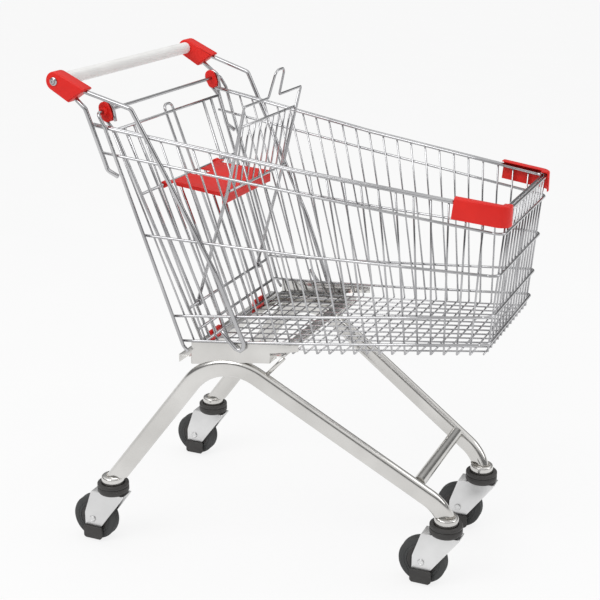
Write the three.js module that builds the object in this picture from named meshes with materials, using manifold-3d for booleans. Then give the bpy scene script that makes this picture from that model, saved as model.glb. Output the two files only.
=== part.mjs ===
// Shopping cart: welded wire basket on a bent-tube chassis with four swivel casters,
// a top-hung rear gate that carries a folding child seat, and a push handle.
// Millimetres. +X points to the nose, +Y to the cart's left, +Z up, ground at z = 0.
import * as THREE from 'three';
import { mergeVertices } from 'three/addons/utils/BufferGeometryUtils.js';
import Module from 'manifold-3d';

const wasm = await Module();
wasm.setup();

// ---------------------------------------------------------------- driving dimensions
const GAP = 0.3;                 // running and seating clearance between separate pieces

const WHEEL_RADIUS = 50;
const TYRE_WIDTH = 24;
const HUB_RADIUS = 32;
const HUB_SIDES = 12;
const AXLE_RADIUS = 4;
const CASTER_TRAIL = 45;         // axle behind the swivel axis
const WHEELBASE = 703;           // rear swivel axis to front swivel axis
const REAR_HALF_TRACK = 232.7;
const FRONT_HALF_TRACK = 128.1;
const FORK_TOP = 116;            // top face of the fork crown
const FORK_SHEET = 2.5;
const FORK_GAP = 3;              // tyre side to fork leg
const STEM_RADIUS = 8;
const BUMPER_RADIUS = 33.5;
const BUMPER_TOP = 139;
const CUP_RADIUS = 24.3;
const CUP_TOP = 155;

const LEG_HEIGHT = 38;           // flat-oval leg tube, tall side
const LEG_WIDTH = 22;            // flat-oval leg tube, thickness
const LEG_REAR_SLOPE = 53.15;    // degrees from the ground
const LEG_FRONT_SLOPE = 33.16;
const LEG_CROWN = { x: -106.1, y: 212.7, z: 468.2 };     // where the straight runs would meet
const LEG_ARCH_RADIUS = 104;
const LEG_BEND_Y = 132.9;
const LEG_FOOT_SLOPE = 75;        // degrees, where the front run meets its caster
const LEG_FOOT_RADIUS = 90;
const CROSS_TUBE_RADIUS = 12.5;
const CROSS_TUBE_X = 292;
const CROSS_TUBE_Z = 217;

const NOSE_HALF_WIDTH = 158;
const RIM_TAPER = 0.118;         // half width gained per mm towards the rear, at the rim
const FLOOR_TAPER = 0.095;       // the same at the floor
const RIM_NOSE_X = 441;
const RIM_PITCH = 32.45;
const FLOOR_NOSE_X = 418;
const FLOOR_PITCH = 24.6;
const SIDE_WIRES = 24;
const NOSE_WIRES = 13;
const NOSE_SETBACK = 4;          // nose wires stand this far ahead of the first side wires
const CORNER_RADIUS = 14;
const RAIL_STATIONS = [-300, 60, 437];
const RAIL_HEIGHTS = {           // height of each rail at the stations
  rim: [899, 842, 794],
  upper: [850, 801, 752],
  middle: [696, 680, 673],
  lower: [521, 555, 595],
  bottom: [470, 500, 541],
  floor: [441, 478, 520],
};

const RIM_WIRE = 3;              // wire radii
const RAIL_WIRE = 2.7;
const SIDE_WIRE = 1.9;
const FLOOR_WIRE = 1.7;
const POST_WIRE = 3.5;
const ARM_WIRE = 4.5;
const GATE_WIRE = 3;
const SEAT_WIRE = 2.5;
const SEAT_BAR_WIRE = 2;
const BRACE_WIRE = 4;

const SHEET = 2;                 // bracket and cross member sheet
const BRACKET_REAR_X = -160;
const BRACKET_STEP_X = 4;
const BRACKET_FRONT_X = 62;
const BRACKET_FLANGE = 26;

const HANDLE_X = -409;
const HANDLE_Z = 988.5;
const GRIP_RADIUS = 12.5;
const CORE_RADIUS = 10;
const CAP_OUTER_Y = 278;
const CAP_WIDTH = 30;
const CAP_NOSE_RADIUS = 18.5;
const BOLT_HEAD_RADIUS = 8;

const PIVOT_X = -329;            // gate pivot wire
const PIVOT_Z = 930;
const BEARING_HALF_WIDTH = 12;
const BEARING_END = 240;
const GATE_FRAME_WIRE = 3.4;
const GATE_SLOPE = 69.7;         // degrees from the ground, foot towards the nose
const GATE_HEAD_Z = 892;
const GATE_HEAD_HALF = 222;
const GATE_FOOT_Z = 464;
const GATE_FOOT_HALF = 178;
const SEAT_PIVOT_Z = 767;        // gate cross wire that hinges the seat plate
const BACK_PIVOT_Z = 535.5;      // gate cross wire that hinges the seat back

const SEAT_BACK_HALF = 141;
const SEAT_TOP_HALF = 134;
const SEAT_TOP = { x: -77, z: 940 };
const SEAT_HUMP = { foot: 26, top: 20, reach: 15, z: 995, radius: 14 };
const SEAT_BEND = { x: -118, z: 768.6 };
const SEAT_BAR_X = -113.5;
const SEAT_BAR_Z = 771;
const SEAT_UPPER_BAR = { x: -91, z: 897.5 };
const SEAT_BARS = 9;
const PLATE_REAR = { x: -259, z: 772 };
const PLATE_FRONT = { x: -138, z: 761 };
const PLATE_REAR_HALF = 100;
const PLATE_FRONT_HALF = 112;
const PLATE_SHEET = 3;
const PLATE_LIP = 25;
const PLATE_NOTCH_HALF = 26;      // clears the gate's centre loop when folded
const PLATE_NOTCH_DEPTH = 26;

// ---------------------------------------------------------------- materials
const finish = (color, metalness, roughness) =>
  new THREE.MeshStandardMaterial({ color, metalness, roughness });
const CHROME = () => finish(0xc9cacc, 1.0, 0.22);
const ZINC = () => finish(0xd6d4d0, 0.85, 0.42);
const RED = () => finish(0xe5261d, 0.0, 0.42);
const WHITE = () => finish(0xf2efe9, 0.0, 0.45);
const RUBBER = () => finish(0x3a3a3a, 0.0, 0.75);
const GREY = () => finish(0x6c6c6e, 0.0, 0.6);

// ---------------------------------------------------------------- geometry helpers
const V = (x, y, z) => new THREE.Vector3(x, y, z);
const UP = V(0, 0, 1);
const LEFT = V(0, 1, 0);
const rad = THREE.MathUtils.degToRad;
const lerp = THREE.MathUtils.lerp;

// A path through given vertices whose section keeps one side towards a fixed direction.
class BentPath extends THREE.Curve {
  constructor(points, up) {
    super();
    this.points = points;
    this.up = up;
  }

  getPointAt(u) {
    const s = u * (this.points.length - 1);
    const i = Math.min(Math.floor(s + 1e-9), this.points.length - 2);
    return this.points[i].clone().lerp(this.points[i + 1], s - i);
  }

  tangentAtVertex(i) {
    const last = this.points.length - 1;
    const into = this.points[Math.max(i, 1)].clone().sub(this.points[Math.max(i, 1) - 1]).normalize();
    const next = Math.min(i, last - 1);
    const out = this.points[next + 1].clone().sub(this.points[next]).normalize();
    return into.add(out).normalize();
  }

  computeFrenetFrames() {
    const tangents = this.points.map((_, i) => this.tangentAtVertex(i));
    const normals = tangents.map((t) => new THREE.Vector3().crossVectors(this.up, t).normalize());
    const binormals = tangents.map((t, i) => new THREE.Vector3().crossVectors(t, normals[i]));
    return { tangents, normals, binormals };
  }
}

function roundCorners(points, radii, steps = 3) {
  const path = [points[0]];
  for (let i = 1; i < points.length - 1; i += 1) {
    const radius = Array.isArray(radii) ? radii[i - 1] : radii;
    const before = points[i - 1].clone().sub(points[i]).normalize();
    const after = points[i + 1].clone().sub(points[i]).normalize();
    const half = before.angleTo(after) / 2;
    const reach = radius / Math.tan(half);
    const bisector = before.clone().add(after).normalize();
    const centre = points[i].clone().addScaledVector(bisector, radius / Math.sin(half));
    const from = points[i].clone().addScaledVector(before, reach).sub(centre);
    const to = points[i].clone().addScaledVector(after, reach).sub(centre);
    const sweepAngle = from.angleTo(to);
    for (let k = 0; k <= steps; k += 1) {
      const t = k / steps;
      const a = Math.sin((1 - t) * sweepAngle) / Math.sin(sweepAngle);
      const b = Math.sin(t * sweepAngle) / Math.sin(sweepAngle);
      path.push(centre.clone().addScaledVector(from, a).addScaledVector(to, b));
    }
  }
  path.push(points[points.length - 1]);
  return path;
}

function solid(geometry) {
  const bare = geometry.clone();
  bare.deleteAttribute('normal');
  bare.deleteAttribute('uv');
  const merged = mergeVertices(bare, 1e-4);
  const corners = merged.index.array;
  const faces = [];
  for (let i = 0; i < corners.length; i += 3) {
    const [a, b, c] = corners.slice(i, i + 3);
    if (a !== b && b !== c && c !== a) faces.push(a, b, c);
  }
  return new wasm.Manifold(new wasm.Mesh({
    numProp: 3,
    vertProperties: new Float32Array(merged.attributes.position.array),
    triVerts: new Uint32Array(faces),
  }));
}

function geometryOf(manifold) {
  const mesh = manifold.getMesh();
  const geometry = new THREE.BufferGeometry();
  geometry.setAttribute('position', new THREE.BufferAttribute(mesh.vertProperties, 3));
  geometry.setIndex(new THREE.BufferAttribute(mesh.triVerts, 1));
  return geometry;
}

const join = (solids) => solids.reduce((a, b) => a.add(b));

function circle(radius, sides) {
  const turn = Math.PI / sides;
  return new THREE.Shape(Array.from({ length: sides }, (_, i) => {
    const a = turn + (2 * Math.PI * i) / sides;
    return new THREE.Vector2(radius * Math.cos(a), radius * Math.sin(a));
  }));
}

function flatOval(height, width, endSteps = 4) {
  const shape = [];
  const r = width / 2;
  for (const end of [1, -1]) {
    for (let k = 0; k <= endSteps; k += 1) {
      const a = (Math.PI * k) / endSteps;
      shape.push(new THREE.Vector2(end * r * Math.cos(a), end * (height / 2 - r + r * Math.sin(a))));
    }
  }
  return new THREE.Shape(shape);
}

function sweep(shape, points, up = UP) {
  const extrudePath = new BentPath(points, up);
  return solid(new THREE.ExtrudeGeometry(shape, { extrudePath, steps: points.length - 1 }));
}

const wire = (points, radius, sides = 6, up = UP) => sweep(circle(radius, sides), points, up);

// A plate drawn in the XZ plane, filling y from low to high.
function plate(outline, low, high) {
  const shape = outline instanceof THREE.Shape
    ? outline : new THREE.Shape(outline.map(([x, z]) => new THREE.Vector2(x, z)));
  const geometry = new THREE.ExtrudeGeometry(shape, { depth: high - low, bevelEnabled: false, curveSegments: 8 });
  geometry.rotateX(Math.PI / 2);
  geometry.translate(0, high, 0);
  return solid(geometry);
}

function block(x0, x1, y0, y1, z0, z1) {
  const geometry = new THREE.BoxGeometry(x1 - x0, y1 - y0, z1 - z0);
  geometry.translate((x0 + x1) / 2, (y0 + y1) / 2, (z0 + z1) / 2);
  return solid(geometry);
}

// A turned piece; the profile lists [radius, place along the axis], and closes on itself or on the axis.
function turned(profile, axis = 'z', sides = 24) {
  const closed = profile[0][0] > 0 ? [...profile, profile[0]] : profile;
  const geometry = new THREE.LatheGeometry(closed.map(([r, h]) => new THREE.Vector2(r, h)), sides);
  if (axis === 'z') geometry.rotateX(Math.PI / 2);
  return solid(geometry);
}

function cylinderY(x, z, radius, low, high, sides = 16) {
  return turned([[0, low], [radius, low], [radius, high], [0, high]], 'y', sides).translate([x, 0, z]);
}

const cart = new THREE.Group();

function add(name, manifold, material, parent = cart) {
  const mesh = new THREE.Mesh(geometryOf(manifold), material);
  mesh.name = name;
  parent.add(mesh);
  return mesh;
}

const SIDES = [['left', 1], ['right', -1]];
const mirrored = (manifold, side) => (side > 0 ? manifold : manifold.mirror([0, 1, 0]));

// ---------------------------------------------------------------- basket surface
function railHeight(rail, x) {
  const [rear, middle, nose] = RAIL_STATIONS;
  const [zRear, zMiddle, zNose] = RAIL_HEIGHTS[rail];
  return x < middle
    ? lerp(zRear, zMiddle, (x - rear) / (middle - rear))
    : lerp(zMiddle, zNose, (x - middle) / (nose - middle));
}

const rimHalfWidth = (x) => NOSE_HALF_WIDTH + RIM_TAPER * (RAIL_STATIONS[2] - x);
const floorHalfWidth = (x) => NOSE_HALF_WIDTH + FLOOR_TAPER * (RAIL_STATIONS[2] - x);

const rimX = (index) => RIM_NOSE_X - RIM_PITCH * index;
const floorX = (index) => FLOOR_NOSE_X - FLOOR_PITCH * index;

function wireTop(index) {
  const x = rimX(index);
  return V(x, rimHalfWidth(x), railHeight('rim', x));
}

function wireFoot(index) {
  const x = floorX(index);
  return V(x, floorHalfWidth(x), railHeight('floor', x));
}

// The point where side wire number index crosses a rail, moved outwards.
function onSide(rail, index, outwards) {
  const top = wireTop(index);
  const foot = wireFoot(index);
  let t = 0.5;
  for (let i = 0; i < 8; i += 1) {
    const p = foot.clone().lerp(top, t);
    t += (railHeight(rail, p.x) - p.z) / (top.z - foot.z);
  }
  const p = foot.clone().lerp(top, t);
  p.y += outwards;
  return p;
}

const flatOf = (radius, sides) => radius * Math.cos(Math.PI / sides);
const WELD_BITE = 0.4;
const RAIL_OUT = SIDE_WIRE + RAIL_WIRE + GAP;
const RIM_OUT = flatOf(SIDE_WIRE, 4) + flatOf(RIM_WIRE, 6) - WELD_BITE;
const ARM_OUT = RAIL_OUT + RAIL_WIRE + GAP + ARM_WIRE;
const POST_OUT = RAIL_OUT + RAIL_WIRE + GAP + POST_WIRE;
const LAST = SIDE_WIRES - 1;
const CORNER_INDEX = 0.45;       // where the side rails hand over to the nose corners
const RAILS = ['upper', 'middle', 'lower', 'bottom'];

// The side wires rule the side surface; this finds the one that would pass through x and z.
function panelIndex(x, z) {
  let low = -4;
  let high = SIDE_WIRES + 16;
  for (let k = 0; k < 40; k += 1) {
    const middle = (low + high) / 2;
    const foot = wireFoot(middle);
    const top = wireTop(middle);
    const there = lerp(foot.x, top.x, (z - foot.z) / (top.z - foot.z));
    if (there > x) low = middle;
    else high = middle;
  }
  return low;
}

function halfWidth(x, z) {
  const index = panelIndex(x, z);
  const foot = wireFoot(index);
  const top = wireTop(index);
  return lerp(foot.y, top.y, (z - foot.z) / (top.z - foot.z));
}

const onPanel = (x, z, outwards) => V(x, halfWidth(x, z) + outwards, z);

// ---------------------------------------------------------------- rear posts and handle arms
const POST_FOOT = { x: -174.6, z: 472 };
const POST_HEAD = { x: -314, z: 906 };
const postX = (z) => lerp(POST_FOOT.x, POST_HEAD.x, (z - POST_FOOT.z) / (POST_HEAD.z - POST_FOOT.z));
const RAIL_TAILS = { rim: -346, upper: -330 };      // these two run on to the lower handle arm

function railSpan(rail, outwards) {
  const points = [CORNER_INDEX, 6, 12, 18, LAST - 0.3].map((i) => onSide(rail, i, outwards));
  const end = RAIL_TAILS[rail] ?? postX(railHeight(rail, points[4].x)) - POST_WIRE;
  points.push(onPanel(end, railHeight(rail, end), outwards));
  return points;
}

function peg(at, reach) {
  const inner = at.clone().add(V(0, -reach, 0));
  const outer = at.clone().add(V(0, reach, 0));
  return wire([inner, outer], SIDE_WIRE * 0.8, 4);
}

function sidePanel() {
  const pieces = [];
  for (let i = 1; i < SIDE_WIRES; i += 1) {
    pieces.push(wire([wireFoot(i), wireTop(i)], SIDE_WIRE, 4, V(1, 0, 0)));
  }
  pieces.push(wire(railSpan('rim', RIM_OUT), RIM_WIRE));
  const clear = [['rim', -RAIL_OUT, RIM_WIRE], ...RAILS.map((rail) => [rail, RAIL_OUT, RAIL_WIRE])];
  for (const [rail, outwards, radius] of clear) {
    pieces.push(wire(railSpan(rail, outwards), radius));
    for (const i of [2, LAST - 1]) pieces.push(peg(onSide(rail, i, outwards / 2), RAIL_OUT / 2));
  }
  return join(pieces);
}

// One bent wire: up one rear edge, across as the gate's pivot bar and down the other.
function rearFrame() {
  const foot = onPanel(-165, 460.8, POST_OUT);
  const head = onPanel(POST_HEAD.x, POST_HEAD.z, POST_OUT);
  const left = [foot, onPanel(POST_FOOT.x, POST_FOOT.z, POST_OUT), head, V(PIVOT_X, head.y - 2, PIVOT_Z)];
  const right = left.map((p) => V(p.x, -p.y, p.z)).reverse();
  const path = roundCorners([...left, ...right], [14, 14, 9, 9, 14, 14], 2);
  return wire(path, POST_WIRE, 6, V(1, 0, 0.01));
}

const CAP_INNER_Y = CAP_OUTER_Y - CAP_WIDTH;
const ARM_Y = CAP_OUTER_Y - CAP_WIDTH / 2;
const onArm = ([x, z]) => onPanel(x, z, ARM_OUT);

function armPath(inCap, along) {
  const points = [...inCap.map(([x, z]) => V(x, ARM_Y, z)), ...along.map(onArm)];
  return roundCorners(points, 12);
}

// The upper arm runs down the side and turns back up in a tight U at the bottom rail.
const upperArmPath = [
  ...armPath([[-376, 980], [-346, 969.8]],
    [[-257, 943], [-199.8, 831], [-100.7, 632.6], [-46.5, 492]]),
  ...[[-47, 481], [-54, 475], [-64, 479], [-81, 498], [-90, 513]].map(onArm),
];
const lowerArmPath = armPath([[-391, 972], [-372, 956.5]],
  [[-350.5, 939], [-318.7, 841.9], [-312.4, 821.5], [-291.5, 810]]);

function arm(path, swell = 0) {
  const start = path[0].clone().lerp(path[1], -swell / 20);
  return wire([start, ...path.slice(1)], ARM_WIRE + swell, 6, LEFT);
}

function capOutline() {
  const shape = new THREE.Shape();
  shape.absarc(HANDLE_X, HANDLE_Z, CAP_NOSE_RADIUS, rad(62), rad(245), false);
  shape.lineTo(-380, 950);
  shape.lineTo(-341, 976.5);
  return shape;
}

const CORE_END = CAP_OUTER_Y - 10;
const BOLT_SHANK = 3;

function handleCap() {
  return plate(capOutline(), CAP_INNER_Y, CAP_OUTER_Y)
    .subtract(arm(upperArmPath, GAP))
    .subtract(arm(lowerArmPath, GAP))
    .subtract(cylinderY(HANDLE_X, HANDLE_Z, CORE_RADIUS + GAP, CAP_INNER_Y - 1, CORE_END + GAP))
    .subtract(cylinderY(HANDLE_X, HANDLE_Z, BOLT_SHANK + GAP, CORE_END, CAP_OUTER_Y + 1, 12));
}

function handleBolt() {
  return cylinderY(HANDLE_X, HANDLE_Z, BOLT_HEAD_RADIUS, CAP_OUTER_Y + GAP, CAP_OUTER_Y + 5)
    .add(cylinderY(HANDLE_X, HANDLE_Z, BOLT_SHANK, CORE_END + GAP * 2, CAP_OUTER_Y + 1, 12));
}

function handleGrip() {
  const end = CAP_INNER_Y - GAP;
  return cylinderY(HANDLE_X, HANDLE_Z, GRIP_RADIUS, -end, end)
    .subtract(cylinderY(HANDLE_X, HANDLE_Z, CORE_RADIUS + GAP, -end - 1, end + 1));
}

// ---------------------------------------------------------------- gate bearings and buffers
const gateX = (z) => PIVOT_X + (PIVOT_Z - z) / Math.tan(rad(GATE_SLOPE));
const gateHalf = (z) => lerp(GATE_FOOT_HALF, GATE_HEAD_HALF, (z - GATE_FOOT_Z) / (GATE_HEAD_Z - GATE_FOOT_Z));
const HOOK_RADIUS = 15;           // gate hook's centre line round the bearing
const HOOK_BAND = GATE_FRAME_WIRE + GAP;

function bearingCheek(low, high) {
  const shape = new THREE.Shape();
  shape.absarc(0, 6, BEARING_HALF_WIDTH, 0, Math.PI, false);
  shape.absarc(0, -10, BEARING_HALF_WIDTH, Math.PI, 2 * Math.PI, false);
  return plate(shape, low, high).rotate([0, GATE_SLOPE - 90, 0]).translate([PIVOT_X, 0, PIVOT_Z]);
}

// Sits on the pivot bar; the gate's hook rides round its core between two cheeks.
function gateBearing() {
  const groove = GATE_HEAD_HALF;
  return join([
    cylinderY(PIVOT_X, PIVOT_Z, HOOK_RADIUS - HOOK_BAND - 0.7, groove - 9, groove + 9, 12),
    bearingCheek(groove - HOOK_BAND - 5, groove - HOOK_BAND),
    bearingCheek(groove + HOOK_BAND, groove + HOOK_BAND + 5),
    cylinderY(PIVOT_X, PIVOT_Z, 8, groove + 8, BEARING_END, 12),
  ]).subtract(cylinderY(PIVOT_X, PIVOT_Z, POST_WIRE + GAP, 0, BEARING_END + 1, 12));
}

const CHANNEL_TOP = 449;
const CHANNEL_WIDTH = 29;
const CHANNEL_DEPTH = 16;
const BUFFER_Y = 105;

function gateBuffer() {
  const top = GATE_FOOT_Z + 6;
  const rear = gateX(top) - GATE_WIRE - GAP;
  return block(rear - 9, rear, BUFFER_Y - 22, BUFFER_Y + 22, CHANNEL_TOP + GAP, top);
}

// ---------------------------------------------------------------- nose panel and floor
const noseX = (z) => {
  const low = railHeight('floor', RAIL_STATIONS[2]);
  const high = railHeight('rim', RAIL_STATIONS[2]);
  return lerp(FLOOR_NOSE_X, RIM_NOSE_X, (z - low) / (high - low)) + NOSE_SETBACK;
};

function noseRail(rail, outwards, radius) {
  const start = onSide(rail, CORNER_INDEX - 0.02, outwards);
  const z = railHeight(rail, RAIL_STATIONS[2]);
  const corner = V(noseX(z) + outwards, halfWidth(RAIL_STATIONS[2], z) + outwards, z);
  const points = [start, corner, V(corner.x, -corner.y, z), V(start.x, -start.y, start.z)];
  return wire(roundCorners(points, CORNER_RADIUS + outwards), radius);
}

const noseWireY = (k) => (NOSE_HALF_WIDTH - CORNER_RADIUS) * (2 * k / (NOSE_WIRES - 1) - 1);

function nosePanel() {
  const low = railHeight('floor', RAIL_STATIONS[2]);
  const high = railHeight('rim', RAIL_STATIONS[2]);
  const pieces = [noseRail('rim', RIM_OUT, RIM_WIRE)];
  for (let k = 0; k < NOSE_WIRES; k += 1) {
    const y = noseWireY(k);
    pieces.push(wire([V(noseX(low), y, low), V(noseX(high), y, high)], SIDE_WIRE, 4, LEFT));
  }
  const clear = [['rim', -RAIL_OUT, RIM_WIRE], ...RAILS.map((rail) => [rail, RAIL_OUT, RAIL_WIRE])];
  for (const [rail, outwards, radius] of clear) {
    pieces.push(noseRail(rail, outwards, radius));
    const z = railHeight(rail, RAIL_STATIONS[2]);
    for (const y of [noseWireY(0), noseWireY(NOSE_WIRES - 1)]) {
      pieces.push(wire([V(noseX(z), y, z), V(noseX(z) + outwards, y, z)], SIDE_WIRE * 0.8, 4));
    }
  }
  return join(pieces);
}

function floorGrid() {
  const pieces = [];
  const bite = flatOf(FLOOR_WIRE, 4) * 2 - WELD_BITE;
  const clear = flatOf(FLOOR_WIRE, 4) * 2 + GAP;
  for (let i = 0; i < SIDE_WIRES; i += 1) {
    const foot = wireFoot(i);
    const y = foot.y - SIDE_WIRE - GAP;
    const lift = i === 0 || i === LAST ? clear - bite : 0;
    pieces.push(wire([V(foot.x, -y, foot.z + lift), V(foot.x, y, foot.z + lift)], FLOOR_WIRE, 4));
  }
  const rear = floorX(LAST) - FLOOR_WIRE;
  const front = noseX(railHeight('floor', RAIL_STATIONS[2])) - SIDE_WIRE - GAP;
  const spread = floorHalfWidth(rear) / floorHalfWidth(front);
  for (let k = 0; k < NOSE_WIRES; k += 1) {
    const y = noseWireY(k);
    const outer = k === 0 || k === NOSE_WIRES - 1;
    const points = [rear, RAIL_STATIONS[1], front].map((x) => {
      const t = (front - x) / (front - rear);
      return V(x, y * lerp(1, spread, t), railHeight('floor', x) + (outer ? bite : clear));
    });
    pieces.push(wire(points, FLOOR_WIRE, 4));
  }
  return join(pieces);
}

// ---------------------------------------------------------------- nose corner protectors
const PROTECTOR_SIDE = 92;
const PROTECTOR_INNER_Y = 139;
const PROTECTOR_SKIN = 2.6;
const PROTECTOR_TOP = 10;
const PROTECTOR_DROP = 40;
const PROTECTOR_INSIDE = RIM_OUT + RIM_WIRE + GAP;

function cornerProtector() {
  const skin = PROTECTOR_INSIDE + PROTECTOR_SKIN;
  const lip = PROTECTOR_TOP - PROTECTOR_SKIN;
  const section = new THREE.Shape([
    [PROTECTOR_INSIDE, PROTECTOR_TOP - PROTECTOR_DROP], [skin, PROTECTOR_TOP - PROTECTOR_DROP],
    [skin, PROTECTOR_TOP], [-PROTECTOR_INSIDE, PROTECTOR_TOP], [-PROTECTOR_INSIDE, lip], [PROTECTOR_INSIDE, lip],
  ].map(([x, y]) => new THREE.Vector2(x, y)));
  const z = railHeight('rim', RAIL_STATIONS[2]);
  const corner = V(noseX(z), halfWidth(RAIL_STATIONS[2], z), z);
  const run = corner.x - PROTECTOR_SIDE;
  const points = [V(run, rimHalfWidth(run), railHeight('rim', run)), corner, V(corner.x, PROTECTOR_INNER_Y, z)];
  return sweep(section, roundCorners(points, CORNER_RADIUS));
}

// ---------------------------------------------------------------- gate
const GATE_FULL_WIRES = [0.83, 0.667];       // shares of the gate's half width
const GATE_LOWER_WIRES = [0.48, 0.28];
const GATE_LOOP_HALF = 16;
const GATE_LOOP_TOP = 908;

// Side wire of the gate, ending in a hook that hangs on its bearing.
function gateSideWire(side) {
  const y = side * GATE_HEAD_HALF;
  const round = [200, 160, 125, 90, 55, 20].map((angle) => V(
    PIVOT_X + HOOK_RADIUS * Math.cos(rad(angle)), y, PIVOT_Z + HOOK_RADIUS * Math.sin(rad(angle))));
  const points = [V(gateX(GATE_FOOT_Z), side * GATE_FOOT_HALF, GATE_FOOT_Z), V(gateX(GATE_HEAD_Z), y, GATE_HEAD_Z),
    V(PIVOT_X - 2, y, 910), ...round, V(PIVOT_X + 18, y, 911)];
  return wire(points, GATE_FRAME_WIRE, 6, LEFT);
}

function gateFrame() {
  const at = (share, z) => V(gateX(z), share * gateHalf(z), z);
  const pieces = [];
  for (const side of [1, -1]) {
    pieces.push(gateSideWire(side));
    for (const share of GATE_FULL_WIRES) {
      pieces.push(wire([at(side * share, GATE_HEAD_Z), at(side * share, GATE_FOOT_Z)], GATE_WIRE, 4, LEFT));
    }
    for (const share of GATE_LOWER_WIRES) {
      pieces.push(wire([at(side * share, SEAT_PIVOT_Z), at(side * share, GATE_FOOT_Z)], GATE_WIRE, 4, LEFT));
    }
  }
  for (const z of [SEAT_PIVOT_Z, BACK_PIVOT_Z]) pieces.push(wire([at(-1, z), at(1, z)], GATE_WIRE, 8));
  for (const z of [GATE_HEAD_Z, 491, GATE_FOOT_Z]) pieces.push(wire([at(-1, z), at(1, z)], GATE_WIRE, 4));
  const loop = [V(gateX(GATE_FOOT_Z), -GATE_LOOP_HALF, GATE_FOOT_Z), V(gateX(GATE_LOOP_TOP), -GATE_LOOP_HALF, GATE_LOOP_TOP),
    V(gateX(GATE_LOOP_TOP), GATE_LOOP_HALF, GATE_LOOP_TOP), V(gateX(GATE_FOOT_Z), GATE_LOOP_HALF, GATE_FOOT_Z)];
  pieces.push(wire(roundCorners(loop, GATE_LOOP_HALF * 0.7), GATE_WIRE, 4, V(1, 0, 0)));
  return join(pieces);
}

// ---------------------------------------------------------------- child seat
const ringY = (x, y, z, inner, outer, width) => cylinderY(x, z, outer, y - width / 2, y + width / 2, 16)
  .subtract(cylinderY(x, z, inner, y - width, y + width, 16));

function seatPlate() {
  const { x: rx, z: rz } = PLATE_REAR;
  const { x: fx, z: fz } = PLATE_FRONT;
  const profile = [[rx, rz], [rx, rz - PLATE_SHEET], [fx - PLATE_SHEET, fz - PLATE_SHEET],
    [fx - PLATE_SHEET, fz - PLATE_LIP], [fx, fz - PLATE_LIP], [fx, fz]];
  const sheet = plate(profile, -PLATE_FRONT_HALF, PLATE_FRONT_HALF);
  const plan = new THREE.ExtrudeGeometry(new THREE.Shape([
    [rx - 20, PLATE_REAR_HALF], [rx - 20, PLATE_NOTCH_HALF], [rx + PLATE_NOTCH_DEPTH, PLATE_NOTCH_HALF],
    [rx + PLATE_NOTCH_DEPTH, -PLATE_NOTCH_HALF], [rx - 20, -PLATE_NOTCH_HALF], [rx - 20, -PLATE_REAR_HALF],
    [fx + 1, -PLATE_FRONT_HALF], [fx + 1, PLATE_FRONT_HALF],
  ].map(([x, y]) => new THREE.Vector2(x, y))), { depth: 200, bevelEnabled: false });
  plan.translate(0, 0, fz - 100);
  let piece = sheet.intersect(solid(plan));
  const pivotX = gateX(SEAT_PIVOT_Z);
  for (const side of [1, -1]) {
    const y = side * (PLATE_REAR_HALF + 15);
    const ear = block(pivotX, rx + 6, Math.min(side * 88, side * 122), Math.max(side * 88, side * 122), rz - 2.6, rz);
    piece = piece.add(ear).add(cylinderY(pivotX, SEAT_PIVOT_Z, GATE_WIRE + 4, y - 7, y + 7, 16));
  }
  const bore = cylinderY(pivotX, SEAT_PIVOT_Z, GATE_WIRE + GAP, -150, 150, 16);
  return piece.subtract(bore);
}

function seatBack() {
  const pivotX = gateX(BACK_PIVOT_Z);
  const pair = SEAT_WIRE + 0.1;
  const upright = (inset) => {
    const leg = (side) => [
      V(pivotX, side * (SEAT_BACK_HALF + inset), BACK_PIVOT_Z + 5),
      V(SEAT_BEND.x, side * (SEAT_BACK_HALF - 8 + inset), SEAT_BEND.z),
      V(SEAT_TOP.x, side * (SEAT_TOP_HALF + inset), SEAT_TOP.z)];
    return leg;
  };
  const outer = upright(pair);
  const { foot, top: peak, reach, z: humpZ, radius } = SEAT_HUMP;
  const loop = [V(SEAT_TOP.x, -foot, SEAT_TOP.z), V(SEAT_TOP.x + reach, -peak, humpZ),
    V(SEAT_TOP.x + reach, peak, humpZ), V(SEAT_TOP.x, foot, SEAT_TOP.z)];
  const radii = [4, 4, 4, radius, radius, 4, 4, 4];
  const path = roundCorners([...outer(-1), ...loop, ...outer(1).reverse()], radii, 3);
  const pieces = [wire(path, SEAT_WIRE, 6, V(1, 0, 0))];
  const inner = upright(-pair);
  for (const side of [1, -1]) {
    const leg = inner(side);
    leg[2] = leg[1].clone().lerp(leg[2], 0.94);
    pieces.push(wire(leg, SEAT_WIRE, 6, LEFT));
    pieces.push(ringY(pivotX, side * SEAT_BACK_HALF, BACK_PIVOT_Z, GATE_WIRE + GAP, GATE_WIRE + 4.5, 9));
  }
  const half = SEAT_BACK_HALF - 9;
  pieces.push(wire([V(SEAT_BAR_X, -half, SEAT_BAR_Z), V(SEAT_BAR_X, half, SEAT_BAR_Z)], SEAT_WIRE));
  const top = SEAT_UPPER_BAR;
  pieces.push(wire([V(top.x, -half, top.z), V(top.x, half, top.z)], SEAT_WIRE));
  for (let k = 0; k < SEAT_BARS; k += 1) {
    const y = (half - 18) * (2 * k / (SEAT_BARS - 1) - 1);
    pieces.push(wire([V(SEAT_BAR_X, y, SEAT_BAR_Z), V(top.x, y, top.z)], SEAT_BAR_WIRE, 4, LEFT));
  }
  const swept = join(pieces);
  return swept.subtract(cylinderY(pivotX, BACK_PIVOT_Z, GATE_WIRE + GAP, -200, 200, 16));
}

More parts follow.
